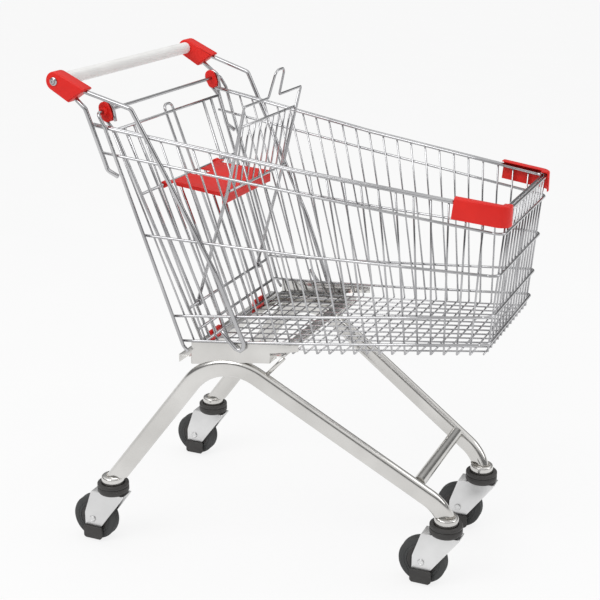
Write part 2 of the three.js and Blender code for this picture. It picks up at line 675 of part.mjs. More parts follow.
// ---------------------------------------------------------------- chassis
const REAR_RISE = Math.tan(rad(LEG_REAR_SLOPE));
const FRONT_RISE = Math.tan(rad(LEG_FRONT_SLOPE));
const FOOT_RISE = Math.tan(rad(LEG_FOOT_SLOPE));
const LEG_END_Z = CUP_TOP - 12;
const SWIVEL_X = WHEELBASE / 2;
const BEND_X = (SWIVEL_X * FOOT_RISE + LEG_END_Z - LEG_CROWN.z - LEG_CROWN.x * FRONT_RISE)
  / (FOOT_RISE - FRONT_RISE);
const legZ = (x) => LEG_CROWN.z - (x - LEG_CROWN.x) * FRONT_RISE;       // along the front run
const legY = (x) => lerp(LEG_CROWN.y, LEG_BEND_Y, (x - LEG_CROWN.x) / (BEND_X - LEG_CROWN.x));

function legTube(swell = 0) {
  const points = roundCorners([
    V(LEG_CROWN.x - (LEG_CROWN.z - LEG_END_Z) / REAR_RISE, REAR_HALF_TRACK, LEG_END_Z),
    V(LEG_CROWN.x, LEG_CROWN.y, LEG_CROWN.z),
    V(BEND_X, LEG_BEND_Y, legZ(BEND_X)),
    V(SWIVEL_X, FRONT_HALF_TRACK, LEG_END_Z),
  ], [LEG_ARCH_RADIUS, LEG_FOOT_RADIUS], 6);
  const tube = sweep(flatOval(LEG_HEIGHT + 2 * swell, LEG_WIDTH + 2 * swell), points);
  return tube.subtract(block(-WHEELBASE, WHEELBASE, 0, 2 * REAR_HALF_TRACK, 0, CUP_TOP + GAP));
}

function frontCrossTube() {
  const end = legY(CROSS_TUBE_X + CROSS_TUBE_RADIUS) - LEG_WIDTH / 2 - GAP;
  return cylinderY(CROSS_TUBE_X, CROSS_TUBE_Z, CROSS_TUBE_RADIUS, -end, end, 16);
}

// Bracket outlines lie in x and z; their y counts outwards from the edge of the floor.
const BRACKET_INNER = 4.4;
const BRACKET_OUTER = BRACKET_INNER + SHEET;
const BRACKET_BOTTOM = [[BRACKET_REAR_X, 432.4], [-56, 447.4], [BRACKET_STEP_X, 453]];
const BRACKET_ARM_BOTTOM = [[BRACKET_STEP_X, 474], [BRACKET_FRONT_X, 484]];

const raised = (outline, height) => outline.map(([x, z]) => [x, z + height]);
const strip = (outline, height) => [...outline, ...raised(outline, height).reverse()];
const alongRail = (rail, drop, xs) => xs.map((x) => [x, railHeight(rail, x) - drop]);

function followFloorEdge(manifold) {
  const edge = floorHalfWidth(0);
  return manifold.transform([1, -FLOOR_TAPER, 0, 0, 0, 1, 0, 0, 0, 0, 1, 0, 0, edge, 0, 1]);
}

function bracket() {
  const top = alongRail('bottom', RAIL_WIRE + GAP, [BRACKET_FRONT_X, RAIL_STATIONS[1], BRACKET_REAR_X]);
  const shelf = alongRail('floor', FLOOR_WIRE + SHEET, [BRACKET_REAR_X, BRACKET_STEP_X]);
  const wall = [...BRACKET_BOTTOM, ...BRACKET_ARM_BOTTOM, ...top];
  const rearEnd = block(BRACKET_REAR_X, BRACKET_REAR_X + SHEET, -BRACKET_FLANGE, BRACKET_OUTER,
    BRACKET_BOTTOM[0][1], shelf[0][1] + SHEET);
  const stepEnd = block(BRACKET_STEP_X - SHEET, BRACKET_STEP_X, -BRACKET_FLANGE, BRACKET_OUTER,
    BRACKET_BOTTOM[2][1], shelf[1][1] + SHEET);
  return followFloorEdge(join([
    plate(wall, BRACKET_INNER, BRACKET_OUTER),
    plate(strip(shelf, SHEET), -BRACKET_FLANGE, BRACKET_OUTER),
    plate(strip(BRACKET_BOTTOM, SHEET), -BRACKET_FLANGE, BRACKET_OUTER),
    rearEnd, stepEnd,
  ])).subtract(legTube(GAP));
}

function rearCrossChannel() {
  const front = BRACKET_REAR_X - GAP;
  const rear = front - CHANNEL_WIDTH;
  const half = floorHalfWidth(front) + BRACKET_OUTER;
  return block(rear, front, -half, half, CHANNEL_TOP - CHANNEL_DEPTH, CHANNEL_TOP)
    .subtract(block(rear + SHEET, front - SHEET, -half - 1, half + 1, 0, CHANNEL_TOP - SHEET));
}

const STRIP_FRONT_X = 32;
const STRIP_TOP = 469;

function frontCrossStrip() {
  const rear = BRACKET_STEP_X + GAP;
  const half = floorHalfWidth(STRIP_FRONT_X) + 3;
  return block(rear, STRIP_FRONT_X, -half, half, STRIP_TOP - SHEET, STRIP_TOP);
}

// A strut from the leg's crest up to the underside of the cross strip.
const BRACE_FOOT_X = -5.4;
const BRACE_HEAD_X = 29.5;

function braceRod() {
  const footZ = legZ(BRACE_FOOT_X) + LEG_HEIGHT / 2 / Math.cos(rad(LEG_FRONT_SLOPE)) + 1.2;
  return wire([
    V(BRACE_FOOT_X, legY(BRACE_FOOT_X), footZ),
    V(lerp(BRACE_FOOT_X, BRACE_HEAD_X, 0.5), legY(BRACE_FOOT_X), lerp(footZ, STRIP_TOP - SHEET, 0.46)),
    V(BRACE_HEAD_X, legY(BRACE_FOOT_X), STRIP_TOP - SHEET - 3),
  ], BRACE_WIRE, 8, LEFT);
}

// ---------------------------------------------------------------- casters
const FORK_INNER = TYRE_WIDTH / 2 + FORK_GAP;
const FORK_OUTER = FORK_INNER + FORK_SHEET;
const AXLE_X = -CASTER_TRAIL;
const STEM_TOP = CUP_TOP - 4;
const GUARD_OUTER = FORK_INNER + 7;

function fork() {
  const outline = [[-46, FORK_TOP], [-64, 62], [-64, 30], [-28, 30], [35, FORK_TOP]];
  const pieces = [
    block(-46, 34, -FORK_OUTER, FORK_OUTER, FORK_TOP - FORK_SHEET, FORK_TOP),
    turned([[0, FORK_TOP - 1], [STEM_RADIUS, FORK_TOP - 1], [STEM_RADIUS, STEM_TOP], [0, STEM_TOP]], 'z', 12),
  ];
  const bore = cylinderY(AXLE_X, WHEEL_RADIUS, AXLE_RADIUS + GAP, -GUARD_OUTER, GUARD_OUTER, 8);
  for (const low of [FORK_INNER, -FORK_OUTER]) pieces.push(plate(outline, low, low + FORK_SHEET));
  for (const low of [FORK_INNER, -GUARD_OUTER]) pieces.push(block(-67, -22, low, low + 7, 4, 33));
  return join(pieces).subtract(bore);
}

function axle() {
  const head = FORK_OUTER + GAP;
  return turned([[0, -head - 2.5], [7, -head - 2.5], [7, -head], [AXLE_RADIUS, -head],
    [AXLE_RADIUS, head], [7, head], [7, head + 2.5], [0, head + 2.5]], 'y', 8);
}

function wheelHub() {
  const boss = FORK_INNER - GAP;
  const face = TYRE_WIDTH / 2 - 2;
  const bore = AXLE_RADIUS + GAP + 0.1;
  return turned([[bore, -boss], [10, -boss], [10, -face], [HUB_RADIUS - GAP, -face],
    [HUB_RADIUS - GAP, face], [10, face], [10, boss], [bore, boss]], 'y', HUB_SIDES);
}

function tyre() {
  const half = TYRE_WIDTH / 2;
  return turned([[HUB_RADIUS, -half], [WHEEL_RADIUS - 3, -half], [WHEEL_RADIUS, -half + 4],
    [WHEEL_RADIUS, half - 4], [WHEEL_RADIUS - 3, half], [HUB_RADIUS, half]], 'y', 2 * HUB_SIDES);
}

function bumper() {
  const seat = FORK_TOP + 15;
  return turned([[STEM_RADIUS + 0.6, FORK_TOP + GAP], [BUMPER_RADIUS, FORK_TOP + GAP],
    [BUMPER_RADIUS, BUMPER_TOP], [CUP_RADIUS + GAP, BUMPER_TOP], [CUP_RADIUS + GAP, seat],
    [STEM_RADIUS + 0.6, seat]], 'z', 12);
}

function cup() {
  const base = FORK_TOP + 15 + GAP;
  return turned([[STEM_RADIUS + 0.4, base], [CUP_RADIUS, base], [CUP_RADIUS, CUP_TOP],
    [STEM_RADIUS + 0.4, CUP_TOP]], 'z', 12);
}

// ---------------------------------------------------------------- assembly
add('front_cross_tube', frontCrossTube(), CHROME());
add('rear_cross_channel', rearCrossChannel(), ZINC());
add('front_cross_strip', frontCrossStrip(), ZINC());
add('basket_nose', nosePanel(), CHROME());
add('basket_floor', floorGrid(), CHROME());
add('basket_rear_frame', rearFrame(), CHROME());
add('handle_core', cylinderY(HANDLE_X, HANDLE_Z, CORE_RADIUS, -CORE_END, CORE_END), CHROME());
add('handle_grip', handleGrip(), WHITE());
add('gate_frame', gateFrame(), CHROME());
add('seat_plate', seatPlate(), RED());
add('seat_back_frame', seatBack(), CHROME());

const SIDED = [
  ['leg_tube', legTube(), ZINC],
  ['bracket', bracket(), ZINC],
  ['brace_rod', braceRod(), ZINC],
  ['basket_side', sidePanel(), CHROME],
  ['handle_upper_arm', arm(upperArmPath), CHROME],
  ['handle_lower_arm', arm(lowerArmPath), CHROME],
  ['handle_cap', handleCap(), RED],
  ['handle_bolt', handleBolt(), CHROME],
  ['corner_protector', cornerProtector(), RED],
  ['gate_bearing', gateBearing(), RED],
  ['gate_buffer', gateBuffer(), RED],
];
for (const [name, manifold, material] of SIDED) {
  for (const [hand, side] of SIDES) add(`${name}_${hand}`, mirrored(manifold, side), material());
}

const CASTER_PARTS = [
  ['caster_cup', cup(), ZINC, 0, 0],
  ['caster_bumper', bumper(), GREY, 0, 0],
  ['caster_fork', fork(), ZINC, 0, 0],
  ['caster_axle', axle(), ZINC, AXLE_X, WHEEL_RADIUS],
  ['wheel_hub', wheelHub(), WHITE, AXLE_X, WHEEL_RADIUS],
  ['wheel_tyre', tyre(), RUBBER, AXLE_X, WHEEL_RADIUS],
];
for (const [end, x, track] of [['rear', -WHEELBASE / 2, REAR_HALF_TRACK], ['front', WHEELBASE / 2, FRONT_HALF_TRACK]]) {
  for (const [hand, side] of SIDES) {
    for (const [name, manifold, material, dx, z] of CASTER_PARTS) {
      add(`${name}_${end}_${hand}`, manifold.translate([x + dx, side * track, z]), material());
    }
  }
}

const REAR_TIP = -WHEELBASE / 2 - CASTER_TRAIL - WHEEL_RADIUS;
const NOSE_TIP = RIM_NOSE_X + NOSE_SETBACK + PROTECTOR_INSIDE + PROTECTOR_SKIN;
cart.position.x = -(REAR_TIP + NOSE_TIP) / 2;

export default cart;
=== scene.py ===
"""Looks for the shopping cart: finely built wires, tubes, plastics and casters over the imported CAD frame."""

import math

import bmesh
import bpy
from mathutils import Matrix, Vector


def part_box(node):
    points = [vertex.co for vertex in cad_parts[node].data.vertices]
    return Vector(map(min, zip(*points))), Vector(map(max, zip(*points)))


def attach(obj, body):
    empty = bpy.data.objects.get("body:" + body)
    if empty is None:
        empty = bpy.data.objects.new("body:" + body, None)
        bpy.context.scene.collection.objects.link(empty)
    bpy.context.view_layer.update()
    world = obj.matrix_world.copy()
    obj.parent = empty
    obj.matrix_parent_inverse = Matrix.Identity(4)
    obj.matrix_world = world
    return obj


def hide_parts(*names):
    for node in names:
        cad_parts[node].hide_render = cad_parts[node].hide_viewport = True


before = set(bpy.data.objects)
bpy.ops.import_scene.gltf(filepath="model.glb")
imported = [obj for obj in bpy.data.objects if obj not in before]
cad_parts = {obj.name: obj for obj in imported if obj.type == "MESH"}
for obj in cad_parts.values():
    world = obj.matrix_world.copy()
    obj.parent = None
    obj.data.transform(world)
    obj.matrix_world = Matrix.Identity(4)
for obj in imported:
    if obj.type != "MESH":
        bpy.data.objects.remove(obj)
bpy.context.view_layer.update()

# ---------------------------------------------------------------- CAD sizes, in millimetres
GAP = 0.3
WHEEL_RADIUS = 50
TYRE_HALF = 12
HUB_RADIUS = 32
AXLE_RADIUS = 4
AXLE_X = -45
FORK_TOP = 116
FORK_INNER = 15
FORK_SHEET = 2.5
FORK_OUTER = FORK_INNER + FORK_SHEET
GUARD_OUTER = 22
STEM_RADIUS = 8
BUMPER_RADIUS = 33.5
BUMPER_TOP = 139
CUP_RADIUS = 24.3
CUP_FOOT, CUP_TOP = 131, 155
SWIVEL_X = 351.5
TRACK = {"rear": 232.7, "front": 128.1}

LEG_HEIGHT = 38
LEG_WIDTH = 22
LEG_REAR_SLOPE, LEG_FRONT_SLOPE, LEG_FOOT_SLOPE = 53.15, 33.16, 75
LEG_REAR_RISE, LEG_FRONT_RISE, LEG_FOOT_RISE = (
    math.tan(math.radians(slope)) for slope in (LEG_REAR_SLOPE, LEG_FRONT_SLOPE, LEG_FOOT_SLOPE))
LEG_CROWN = (-106.1, 212.7, 468.2)
LEG_BEND_Y = 132.9
LEG_END_Z = CUP_TOP - 12
LEG_BEND_RADII = (104, 90)
BRACE_X = (-5.4, 29.5)
CROSS_TUBE_X, CROSS_TUBE_Z, CROSS_TUBE_RADIUS = 292, 217, 12.5

NOSE_HALF = 158
RIM_TAPER = 0.118
FLOOR_TAPER = 0.095
RIM_NOSE_X, RIM_PITCH = 441, 32.45
FLOOR_NOSE_X, FLOOR_PITCH = 418, 24.6
SIDE_WIRES = 24
NOSE_WIRES = 13
NOSE_SETBACK = 4
CORNER_RADIUS = 14
CORNER_INDEX = 0.45
STATIONS = (-300, 60, 437)
HEIGHTS = {
    "rim": (899, 842, 794),
    "upper": (850, 801, 752),
    "middle": (696, 680, 673),
    "lower": (521, 555, 595),
    "bottom": (470, 500, 541),
    "floor": (441, 478, 520),
}
LOW_RAILS = ("upper", "middle", "lower", "bottom")
RIM_WIRE, RAIL_WIRE, SIDE_WIRE, FLOOR_WIRE = 3, 2.7, 1.9, 1.7
POST_WIRE, ARM_WIRE, GATE_WIRE, GATE_FRAME_WIRE = 3.5, 4.5, 3, 3.4
SEAT_WIRE, SEAT_BAR_WIRE, BRACE_WIRE = 2.5, 2, 4
RAIL_OUT = SIDE_WIRE + RAIL_WIRE + GAP
RIM_OUT = 3.54
ARM_OUT = RAIL_OUT + RAIL_WIRE + GAP + ARM_WIRE
POST_OUT = RAIL_OUT + RAIL_WIRE + GAP + POST_WIRE

HANDLE_X, HANDLE_Z = -409, 988.5
CAP_INNER_Y, CAP_OUTER_Y = 248, 278
CAP_RADIUS, CAP_FLOOR_Y = 18.5, 268.3
GRIP_RADIUS, CORE_RADIUS = 12.5, 10
PIVOT_X, PIVOT_Z = -329, 930
GATE_SLOPE = 69.7
GATE_FOOT_Z, GATE_HEAD_Z = 464, 892
GATE_FOOT_HALF, GATE_HEAD_HALF = 178, 222
GATE_LOW_BAR_Z = 491
HOOK_RADIUS = 15
LOOP_HALF, LOOP_TOP_Z = 16, 908
BEARING_Y = (213, 231, 240)
BUFFER_Y = (83, 127)

SEAT_PIVOT_Z, BACK_PIVOT_Z = 767, 535.5
SEAT_PIVOT_HALF, BACK_PIVOT_HALF = 115, 141
BACK_KNEE, BACK_HEAD, HUMP = (-118, 768.6), (-77, 940), (-62, 995)
HUMP_FOOT_HALF, HUMP_TOP_HALF = 26, 20
BACK_LOW_BAR, BACK_HIGH_BAR = (-113.5, 771), (-91, 897.5)
BACK_BAR_HALF, BACK_BARS, BACK_BAR_SPREAD = 132, 9, 114
PLATE_REAR_X, PLATE_FRONT_X = -259, -138
PLATE_REAR_HALF, PLATE_FRONT_HALF = 100, 112
NOTCH_X, NOTCH_HALF = -233, 26

MM = 0.001
core_low, core_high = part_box("handle_core")
SHIFT = (core_low.x + core_high.x) / 2 / MM - HANDLE_X      # CAD drawing x to row x


def lerp(a, b, t):
    return a + (b - a) * t


def V(x, y, z):
    return Vector((x, y, z))


AHEAD, LEFT, UP = V(1, 0, 0), V(0, 1, 0), V(0, 0, 1)
SIDES = (("left", 1), ("right", -1))


# ---------------------------------------------------------------- materials
NOISE_SPAN = (0.35, 0.65)       # most of a noise texture's values lie between these


def new_material(name, color, metallic, roughness, specular=0.5):
    mat = bpy.data.materials.new(name)
    mat.use_nodes = True
    shader = mat.node_tree.nodes["Principled BSDF"]
    shader.inputs["Base Color"].default_value = (*color, 1)
    shader.inputs["Metallic"].default_value = metallic
    shader.inputs["Roughness"].default_value = roughness
    shader.inputs["Specular IOR Level"].default_value = specular
    return mat, mat.node_tree, shader


def object_noise(tree, scale, detail=3.0):
    coords = tree.nodes.new("ShaderNodeTexCoord")
    noise = tree.nodes.new("ShaderNodeTexNoise")
    noise.inputs["Scale"].default_value = scale
    noise.inputs["Detail"].default_value = detail
    tree.links.new(coords.outputs["Object"], noise.inputs["Vector"])
    return noise.outputs["Fac"]


def vary(tree, shader, socket, fac, low, high):
    """Lets a surface value or colour wander between two ends."""
    ramp = tree.nodes.new("ShaderNodeValToRGB")
    ends = [v if isinstance(v, tuple) else (v, v, v) for v in (low, high)]
    for element, place, value in zip(ramp.color_ramp.elements, NOISE_SPAN, ends):
        element.position = place
        element.color = (*value, 1)
    tree.links.new(fac, ramp.inputs["Fac"])
    tree.links.new(ramp.outputs["Color"], shader.inputs[socket])


def bump(tree, shader, fac, strength, distance):
    node = tree.nodes.new("ShaderNodeBump")
    node.inputs["Strength"].default_value = strength
    node.inputs["Distance"].default_value = distance
    tree.links.new(fac, node.inputs["Height"])
    tree.links.new(node.outputs["Normal"], shader.inputs["Normal"])


def plated(name, dark, light, smooth, rough, grain):
    mat, tree, shader = new_material(name, light, 1.0, rough)
    broad = object_noise(tree, 9)
    fine = object_noise(tree, grain, 4)
    vary(tree, shader, "Base Color", broad, dark, light)
    vary(tree, shader, "Roughness", fine, smooth, rough)
    bump(tree, shader, fine, 0.04, 0.0001)
    return mat


def moulded(name, dark, light, smooth, rough, grain, strength=0.18):
    mat, tree, shader = new_material(name, light, 0.0, rough, 0.32)
    broad = object_noise(tree, 14)
    fine = object_noise(tree, grain, 5)
    vary(tree, shader, "Base Color", broad, dark, light)
    vary(tree, shader, "Roughness", broad, smooth, rough)
    bump(tree, shader, fine, strength, 0.0003)
    return mat


CHROME = plated("plated_wire", (0.40, 0.40, 0.41), (0.56, 0.56, 0.57), 0.08, 0.18, 420)
ZINC = plated("zinc_tube", (0.60, 0.59, 0.57), (0.70, 0.69, 0.67), 0.12, 0.22, 160)
PRESSED = plated("pressed_zinc", (0.66, 0.66, 0.66), (0.78, 0.78, 0.78), 0.30, 0.42, 700)
WELD = plated("weld_bead", (0.36, 0.34, 0.31), (0.60, 0.58, 0.54), 0.30, 0.55, 900)
RED = moulded("moulded_red", (0.70, 0.012, 0.008), (0.78, 0.018, 0.011), 0.36, 0.50, 1500)
WHITE = moulded("moulded_white", (0.86, 0.855, 0.84), (0.91, 0.905, 0.89), 0.36, 0.48, 1200)
HUB = moulded("grey_hub", (0.30, 0.30, 0.31), (0.42, 0.42, 0.43), 0.35, 0.50, 900)
RUBBER = moulded("tread_rubber", (0.050, 0.052, 0.052), (0.075, 0.076, 0.076), 0.55, 0.75, 1100, 0.35)
GUARD = moulded("guard_plastic", (0.045, 0.043, 0.042), (0.065, 0.063, 0.061), 0.42, 0.62, 1400, 0.3)


# ---------------------------------------------------------------- mesh helpers
SHARP = math.radians(40)        # folds sharper than this stay crisp
DOME = 0.55                     # share of a wire's section at its domed tips
MITRE_LIMIT = 0.5


def to_row(bm, side=1, at=(0, 0, 0)):
    """Takes a mesh drawn in CAD millimetres on the cart's left side to its own side, in row metres."""
    if side < 0:
        bmesh.ops.transform(bm, matrix=Matrix.Scale(-1, 4, LEFT), verts=bm.verts)
        bmesh.ops.reverse_faces(bm, faces=bm.faces)
    place = Matrix.Scale(MM, 4) @ Matrix.Translation(V(SHIFT, 0, 0) + Vector(at))
    bmesh.ops.transform(bm, matrix=place, verts=bm.verts)


def link(name, bm):
    mesh = bpy.data.meshes.new(name)
    bm.to_mesh(mesh)
    bm.free()
    obj = bpy.data.objects.new(name, mesh)
    bpy.context.scene.collection.objects.link(obj)
    return obj


def absorb(bm, part):
    """Adds a part's mesh to a piece and frees the part."""
    scrap = bpy.data.meshes.new("scrap")
    part.to_mesh(scrap)
    part.free()
    bm.from_mesh(scrap)
    bpy.data.meshes.remove(scrap)


def bevel(bm, edges, width, segments, clamp=False):
    bmesh.ops.bevel(bm, geom=edges, offset=width, segments=segments, profile=0.5, affect="EDGES",
                    clamp_overlap=clamp)


def piece(name, bm, mat, body, *nodes, side=1, at=(0, 0, 0), shade_all=False):
    """Finishes a mesh drawn in CAD millimetres on the cart's left side and hangs it on its body."""
    to_row(bm, side, at)
    obj = link(name, bm)
    obj.data.shade_smooth()
    if not shade_all:
        obj.data.set_sharp_from_angle(angle=SHARP)
    obj.data.materials.append(mat)
    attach(obj, body)
    if nodes:
        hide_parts(*nodes)
    return obj


def tangent(points, i):
    before = points[max(i, 1)] - points[max(i, 1) - 1]
    j = min(i, len(points) - 2)
    after = points[j + 1] - points[j]
    return (before.normalized() + after.normalized()).normalized()


def sweep(bm, points, section, up=UP, crown=0.0):
    """Sweeps a closed section (right, up) along a path and closes its ends, domed if crown is set."""
    rings = []
    last = len(points) - 1
    stations = [(p, i, 1.0) for i, p in enumerate(points)]
    if crown:
        stations.insert(0, (points[0] - tangent(points, 0) * crown * 0.5, 0, DOME))
        stations.append((points[-1] + tangent(points, last) * crown * 0.5, last, DOME))
    for p, i, size in stations:
        t = tangent(points, i)
        right = up.cross(t).normalized()
        over = t.cross(right)
        into = (points[min(i + 1, last)] - points[max(min(i, last) - 1, 0)]).normalized()
        widen = 1 / max(t.dot(into), MITRE_LIMIT) if 0 < i < last else 1
        rings.append([bm.verts.new(p + right * a * size + over * b * size * widen) for a, b in section])
    count = len(section)
    for low, high in zip(rings, rings[1:]):
        for k in range(count):
            bm.faces.new((low[k], low[(k + 1) % count], high[(k + 1) % count], high[k]))
    bm.faces.new(rings[0][::-1])
    bm.faces.new(rings[-1])


def disc(radius, sides):
    return [(radius * math.cos(2 * math.pi * k / sides), radius * math.sin(2 * math.pi * k / sides))
            for k in range(sides)]


def wire(bm, points, radius, sides=10, up=None):
    along = (points[-1] - points[0]).normalized()
    if up is None:
        up = UP if abs(along.z) < 0.8 else LEFT
    sweep(bm, points, disc(radius, sides), up, crown=radius * 0.5)


def nugget(bm, at, radius=1.7):
    """A resistance weld between two crossing wires."""
    made = bmesh.ops.create_icosphere(bm, subdivisions=1, radius=radius)
    bmesh.ops.translate(bm, verts=made["verts"], vec=at)


def round_corners(points, radii, steps=6):
    path = [points[0]]
    for i in range(1, len(points) - 1):
        radius = radii[i - 1] if isinstance(radii, (list, tuple)) else radii
        before = (points[i - 1] - points[i]).normalized()
        after = (points[i + 1] - points[i]).normalized()
        half = before.angle(after) / 2
        if half > math.radians(89.5):
            path.append(points[i])
            continue
        centre = points[i] + (before + after).normalized() * (radius / math.sin(half))
        start = points[i] + before * (radius / math.tan(half)) - centre
        end = points[i] + after * (radius / math.tan(half)) - centre
        turn = start.angle(end)
        for k in range(steps + 1):
            t = k / steps
            path.append(centre + start * (math.sin((1 - t) * turn) / math.sin(turn))
                        + end * (math.sin(t * turn) / math.sin(turn)))
    path.append(points[-1])
    return path


def lathe(bm, profile, axis="z", sides=48, at=(0, 0, 0)):
    """Turns [radius, place along the axis] about z or y."""
    rings = []
    for r, h in profile:
        if r < 1e-6:
            rings.append([bm.verts.new(V(0, 0, h) if axis == "z" else V(0, h, 0))])
            continue
        ring = []
        for a, b in disc(r, sides):
            ring.append(bm.verts.new(V(a, b, h) if axis == "z" else V(a, h, b)))
        rings.append(ring)
    made = [v for ring in rings for v in ring]
    closed = profile[0][0] > 1e-6 and profile[-1][0] > 1e-6
    pairs = list(zip(rings, rings[1:])) + ([(rings[-1], rings[0])] if closed else [])
    for low, high in pairs:
        for k in range(sides):
            m = (k + 1) % sides
            if len(low) == 1:
                bm.faces.new((low[0], high[k], high[m]))
            elif len(high) == 1:
                bm.faces.new((low[k], high[0], low[m]))
            else:
                bm.faces.new((low[k], high[k], high[m], low[m]))
    bmesh.ops.translate(bm, verts=made, vec=Vector(at))
    bmesh.ops.recalc_face_normals(bm, faces=bm.faces)


def slab(bm, outline, low, high, edge=0.8, segments=3):
    """A plate drawn in x and z, filling y from low to high, with rounded edges."""
    near = [bm.verts.new(V(x, low, z)) for x, z in outline]
    far = [bm.verts.new(V(x, high, z)) for x, z in outline]
    faces = [bm.faces.new(near), bm.faces.new(far[::-1])]
    count = len(outline)
    for k in range(count):
        m = (k + 1) % count
        faces.append(bm.faces.new((near[k], far[k], far[m], near[m])))
    bmesh.ops.recalc_face_normals(bm, faces=faces)
    if edge:
        bevel(bm, list(faces[0].edges) + list(faces[1].edges), edge, segments)


def arc(x, z, radius, angles):
    """Points about a centre in x and z, at whole degrees."""
    return [(x + radius * math.cos(math.radians(a)), z + radius * math.sin(math.radians(a))) for a in angles]


def rounded_outline(points, radii, steps=5):
    """Rounds the corners of a closed outline in x and z."""
    flat = [V(x, 0, z) for x, z in points]
    out = []
    for i, radius in enumerate(radii):
        trio = [flat[i - 1], flat[i], flat[(i + 1) % len(flat)]]
        out += round_corners(trio, radius, steps)[1:-1] if radius else [flat[i]]
    return [(p.x, p.z) for p in out]


def cut(obj, cutters):
    """Takes cutter meshes out of a piece for good."""
    for cutter in cutters:
        modifier = obj.modifiers.new("cut", "BOOLEAN")
        modifier.operation = "DIFFERENCE"
        modifier.solver = "EXACT"
        modifier.use_self = True
        modifier.object = cutter
    graph = bpy.context.evaluated_depsgraph_get()
    mesh = bpy.data.meshes.new_from_object(obj.evaluated_get(graph))
    obj.modifiers.clear()
    obj.data = mesh
    mesh.set_sharp_from_angle(angle=SHARP)
    for cutter in cutters:
        bpy.data.objects.remove(cutter)


def cutter(bm, side=1):
    """A loose mesh in row metres for cut()."""
    to_row(bm, side)
    bmesh.ops.recalc_face_normals(bm, faces=bm.faces)
    return link("cutter", bm)


# ---------------------------------------------------------------- basket surface
def rail_height(rail, x):
    rear, middle, nose = STATIONS
    z_rear, z_middle, z_nose = HEIGHTS[rail]
    if x < middle:
        return lerp(z_rear, z_middle, (x - rear) / (middle - rear))
    return lerp(z_middle, z_nose, (x - middle) / (nose - middle))


def wire_top(i):
    x = RIM_NOSE_X - RIM_PITCH * i
    return V(x, NOSE_HALF + RIM_TAPER * (STATIONS[2] - x), rail_height("rim", x))


def wire_foot(i):
    x = FLOOR_NOSE_X - FLOOR_PITCH * i
    return V(x, NOSE_HALF + FLOOR_TAPER * (STATIONS[2] - x), rail_height("floor", x))


def on_side(rail, i, out):
    top, foot = wire_top(i), wire_foot(i)
    t = 0.5
    for _ in range(8):
        p = foot.lerp(top, t)
        t += (rail_height(rail, p.x) - p.z) / (top.z - foot.z)
    return foot.lerp(top, t) + V(0, out, 0)


def half_width(x, z):
    low, high = -4, SIDE_WIRES + 16
    for _ in range(40):
        middle = (low + high) / 2
        foot, top = wire_foot(middle), wire_top(middle)
        if lerp(foot.x, top.x, (z - foot.z) / (top.z - foot.z)) > x:
            low = middle
        else:
            high = middle
    foot, top = wire_foot(low), wire_top(low)
    return lerp(foot.y, top.y, (z - foot.z) / (top.z - foot.z))


def on_panel(x, z, out):
    return V(x, half_width(x, z) + out, z)


POST_FOOT, POST_HEAD = (-174.6, 472), (-314, 906)
LAST = SIDE_WIRES - 1


def rail_span(rail, out):
    points = [on_side(rail, i, out) for i in (CORNER_INDEX, 6, 12, 18, LAST - 0.3)]
    z = rail_height(rail, points[4].x)
    post = lerp(POST_FOOT[0], POST_HEAD[0], (z - POST_FOOT[1]) / (POST_HEAD[1] - POST_FOOT[1]))
    end = {"rim": -346, "upper": -330}.get(rail, post - POST_WIRE)
    return points + [on_panel(end, rail_height(rail, end), out)]


def nose_x(z):
    low, high = rail_height("floor", STATIONS[2]), rail_height("rim", STATIONS[2])
    return lerp(FLOOR_NOSE_X, RIM_NOSE_X, (z - low) / (high - low)) + NOSE_SETBACK


def nose_rail(rail, out):
    start = on_side(rail, CORNER_INDEX - 0.02, out)
    z = rail_height(rail, STATIONS[2])
    corner = V(nose_x(z) + out, half_width(STATIONS[2], z) + out, z)
    points = [start, corner, V(corner.x, -corner.y, z), V(start.x, -start.y, start.z)]
    return round_corners(points, CORNER_RADIUS + out, 8)


RAIL_SET = [("rim", RIM_OUT, RIM_WIRE), ("rim", -RAIL_OUT, RIM_WIRE)]
RAIL_SET += [(rail, RAIL_OUT, RAIL_WIRE) for rail in LOW_RAILS]
NUGGET_OUT = 0.45               # a weld's place between the wire's middle and the rail's
nose_ys = [(NOSE_HALF - CORNER_RADIUS) * (2 * k / (NOSE_WIRES - 1) - 1) for k in range(NOSE_WIRES)]

for hand, side in SIDES:
    bm = bmesh.new()
    for i in range(1, SIDE_WIRES):
        wire(bm, [wire_foot(i), wire_top(i)], SIDE_WIRE)
    for rail, out, radius in RAIL_SET:
        wire(bm, rail_span(rail, out), radius)
        for i in range(1, SIDE_WIRES):
            nugget(bm, on_side(rail, i, out * NUGGET_OUT))
    piece(f"side_panel_{hand}", bm, CHROME, "frame", f"basket_side_{hand}", side=side, shade_all=True)

bm = bmesh.new()
floor_z, rim_z = rail_height("floor", STATIONS[2]), rail_height("rim", STATIONS[2])
for y in nose_ys:
    wire(bm, [V(nose_x(floor_z), y, floor_z), V(nose_x(rim_z), y, rim_z)], SIDE_WIRE)
for rail, out, radius in RAIL_SET:
    wire(bm, nose_rail(rail, out), radius)
    z = rail_height(rail, STATIONS[2])
    for y in nose_ys:
        nugget(bm, V(nose_x(z) + out * NUGGET_OUT, y, z))
piece("nose_panel", bm, CHROME, "frame", "basket_nose", shade_all=True)

bm = bmesh.new()
flat = FLOOR_WIRE * math.cos(math.pi / 4) * 2
floor_front = nose_x(floor_z) - SIDE_WIRE - GAP
floor_rear = FLOOR_NOSE_X - FLOOR_PITCH * LAST - FLOOR_WIRE
half_rear, half_front = [NOSE_HALF + FLOOR_TAPER * (STATIONS[2] - x) for x in (floor_rear, floor_front)]
SEAT_IN = 0.4                   # the outer wires of the floor press this far into each other


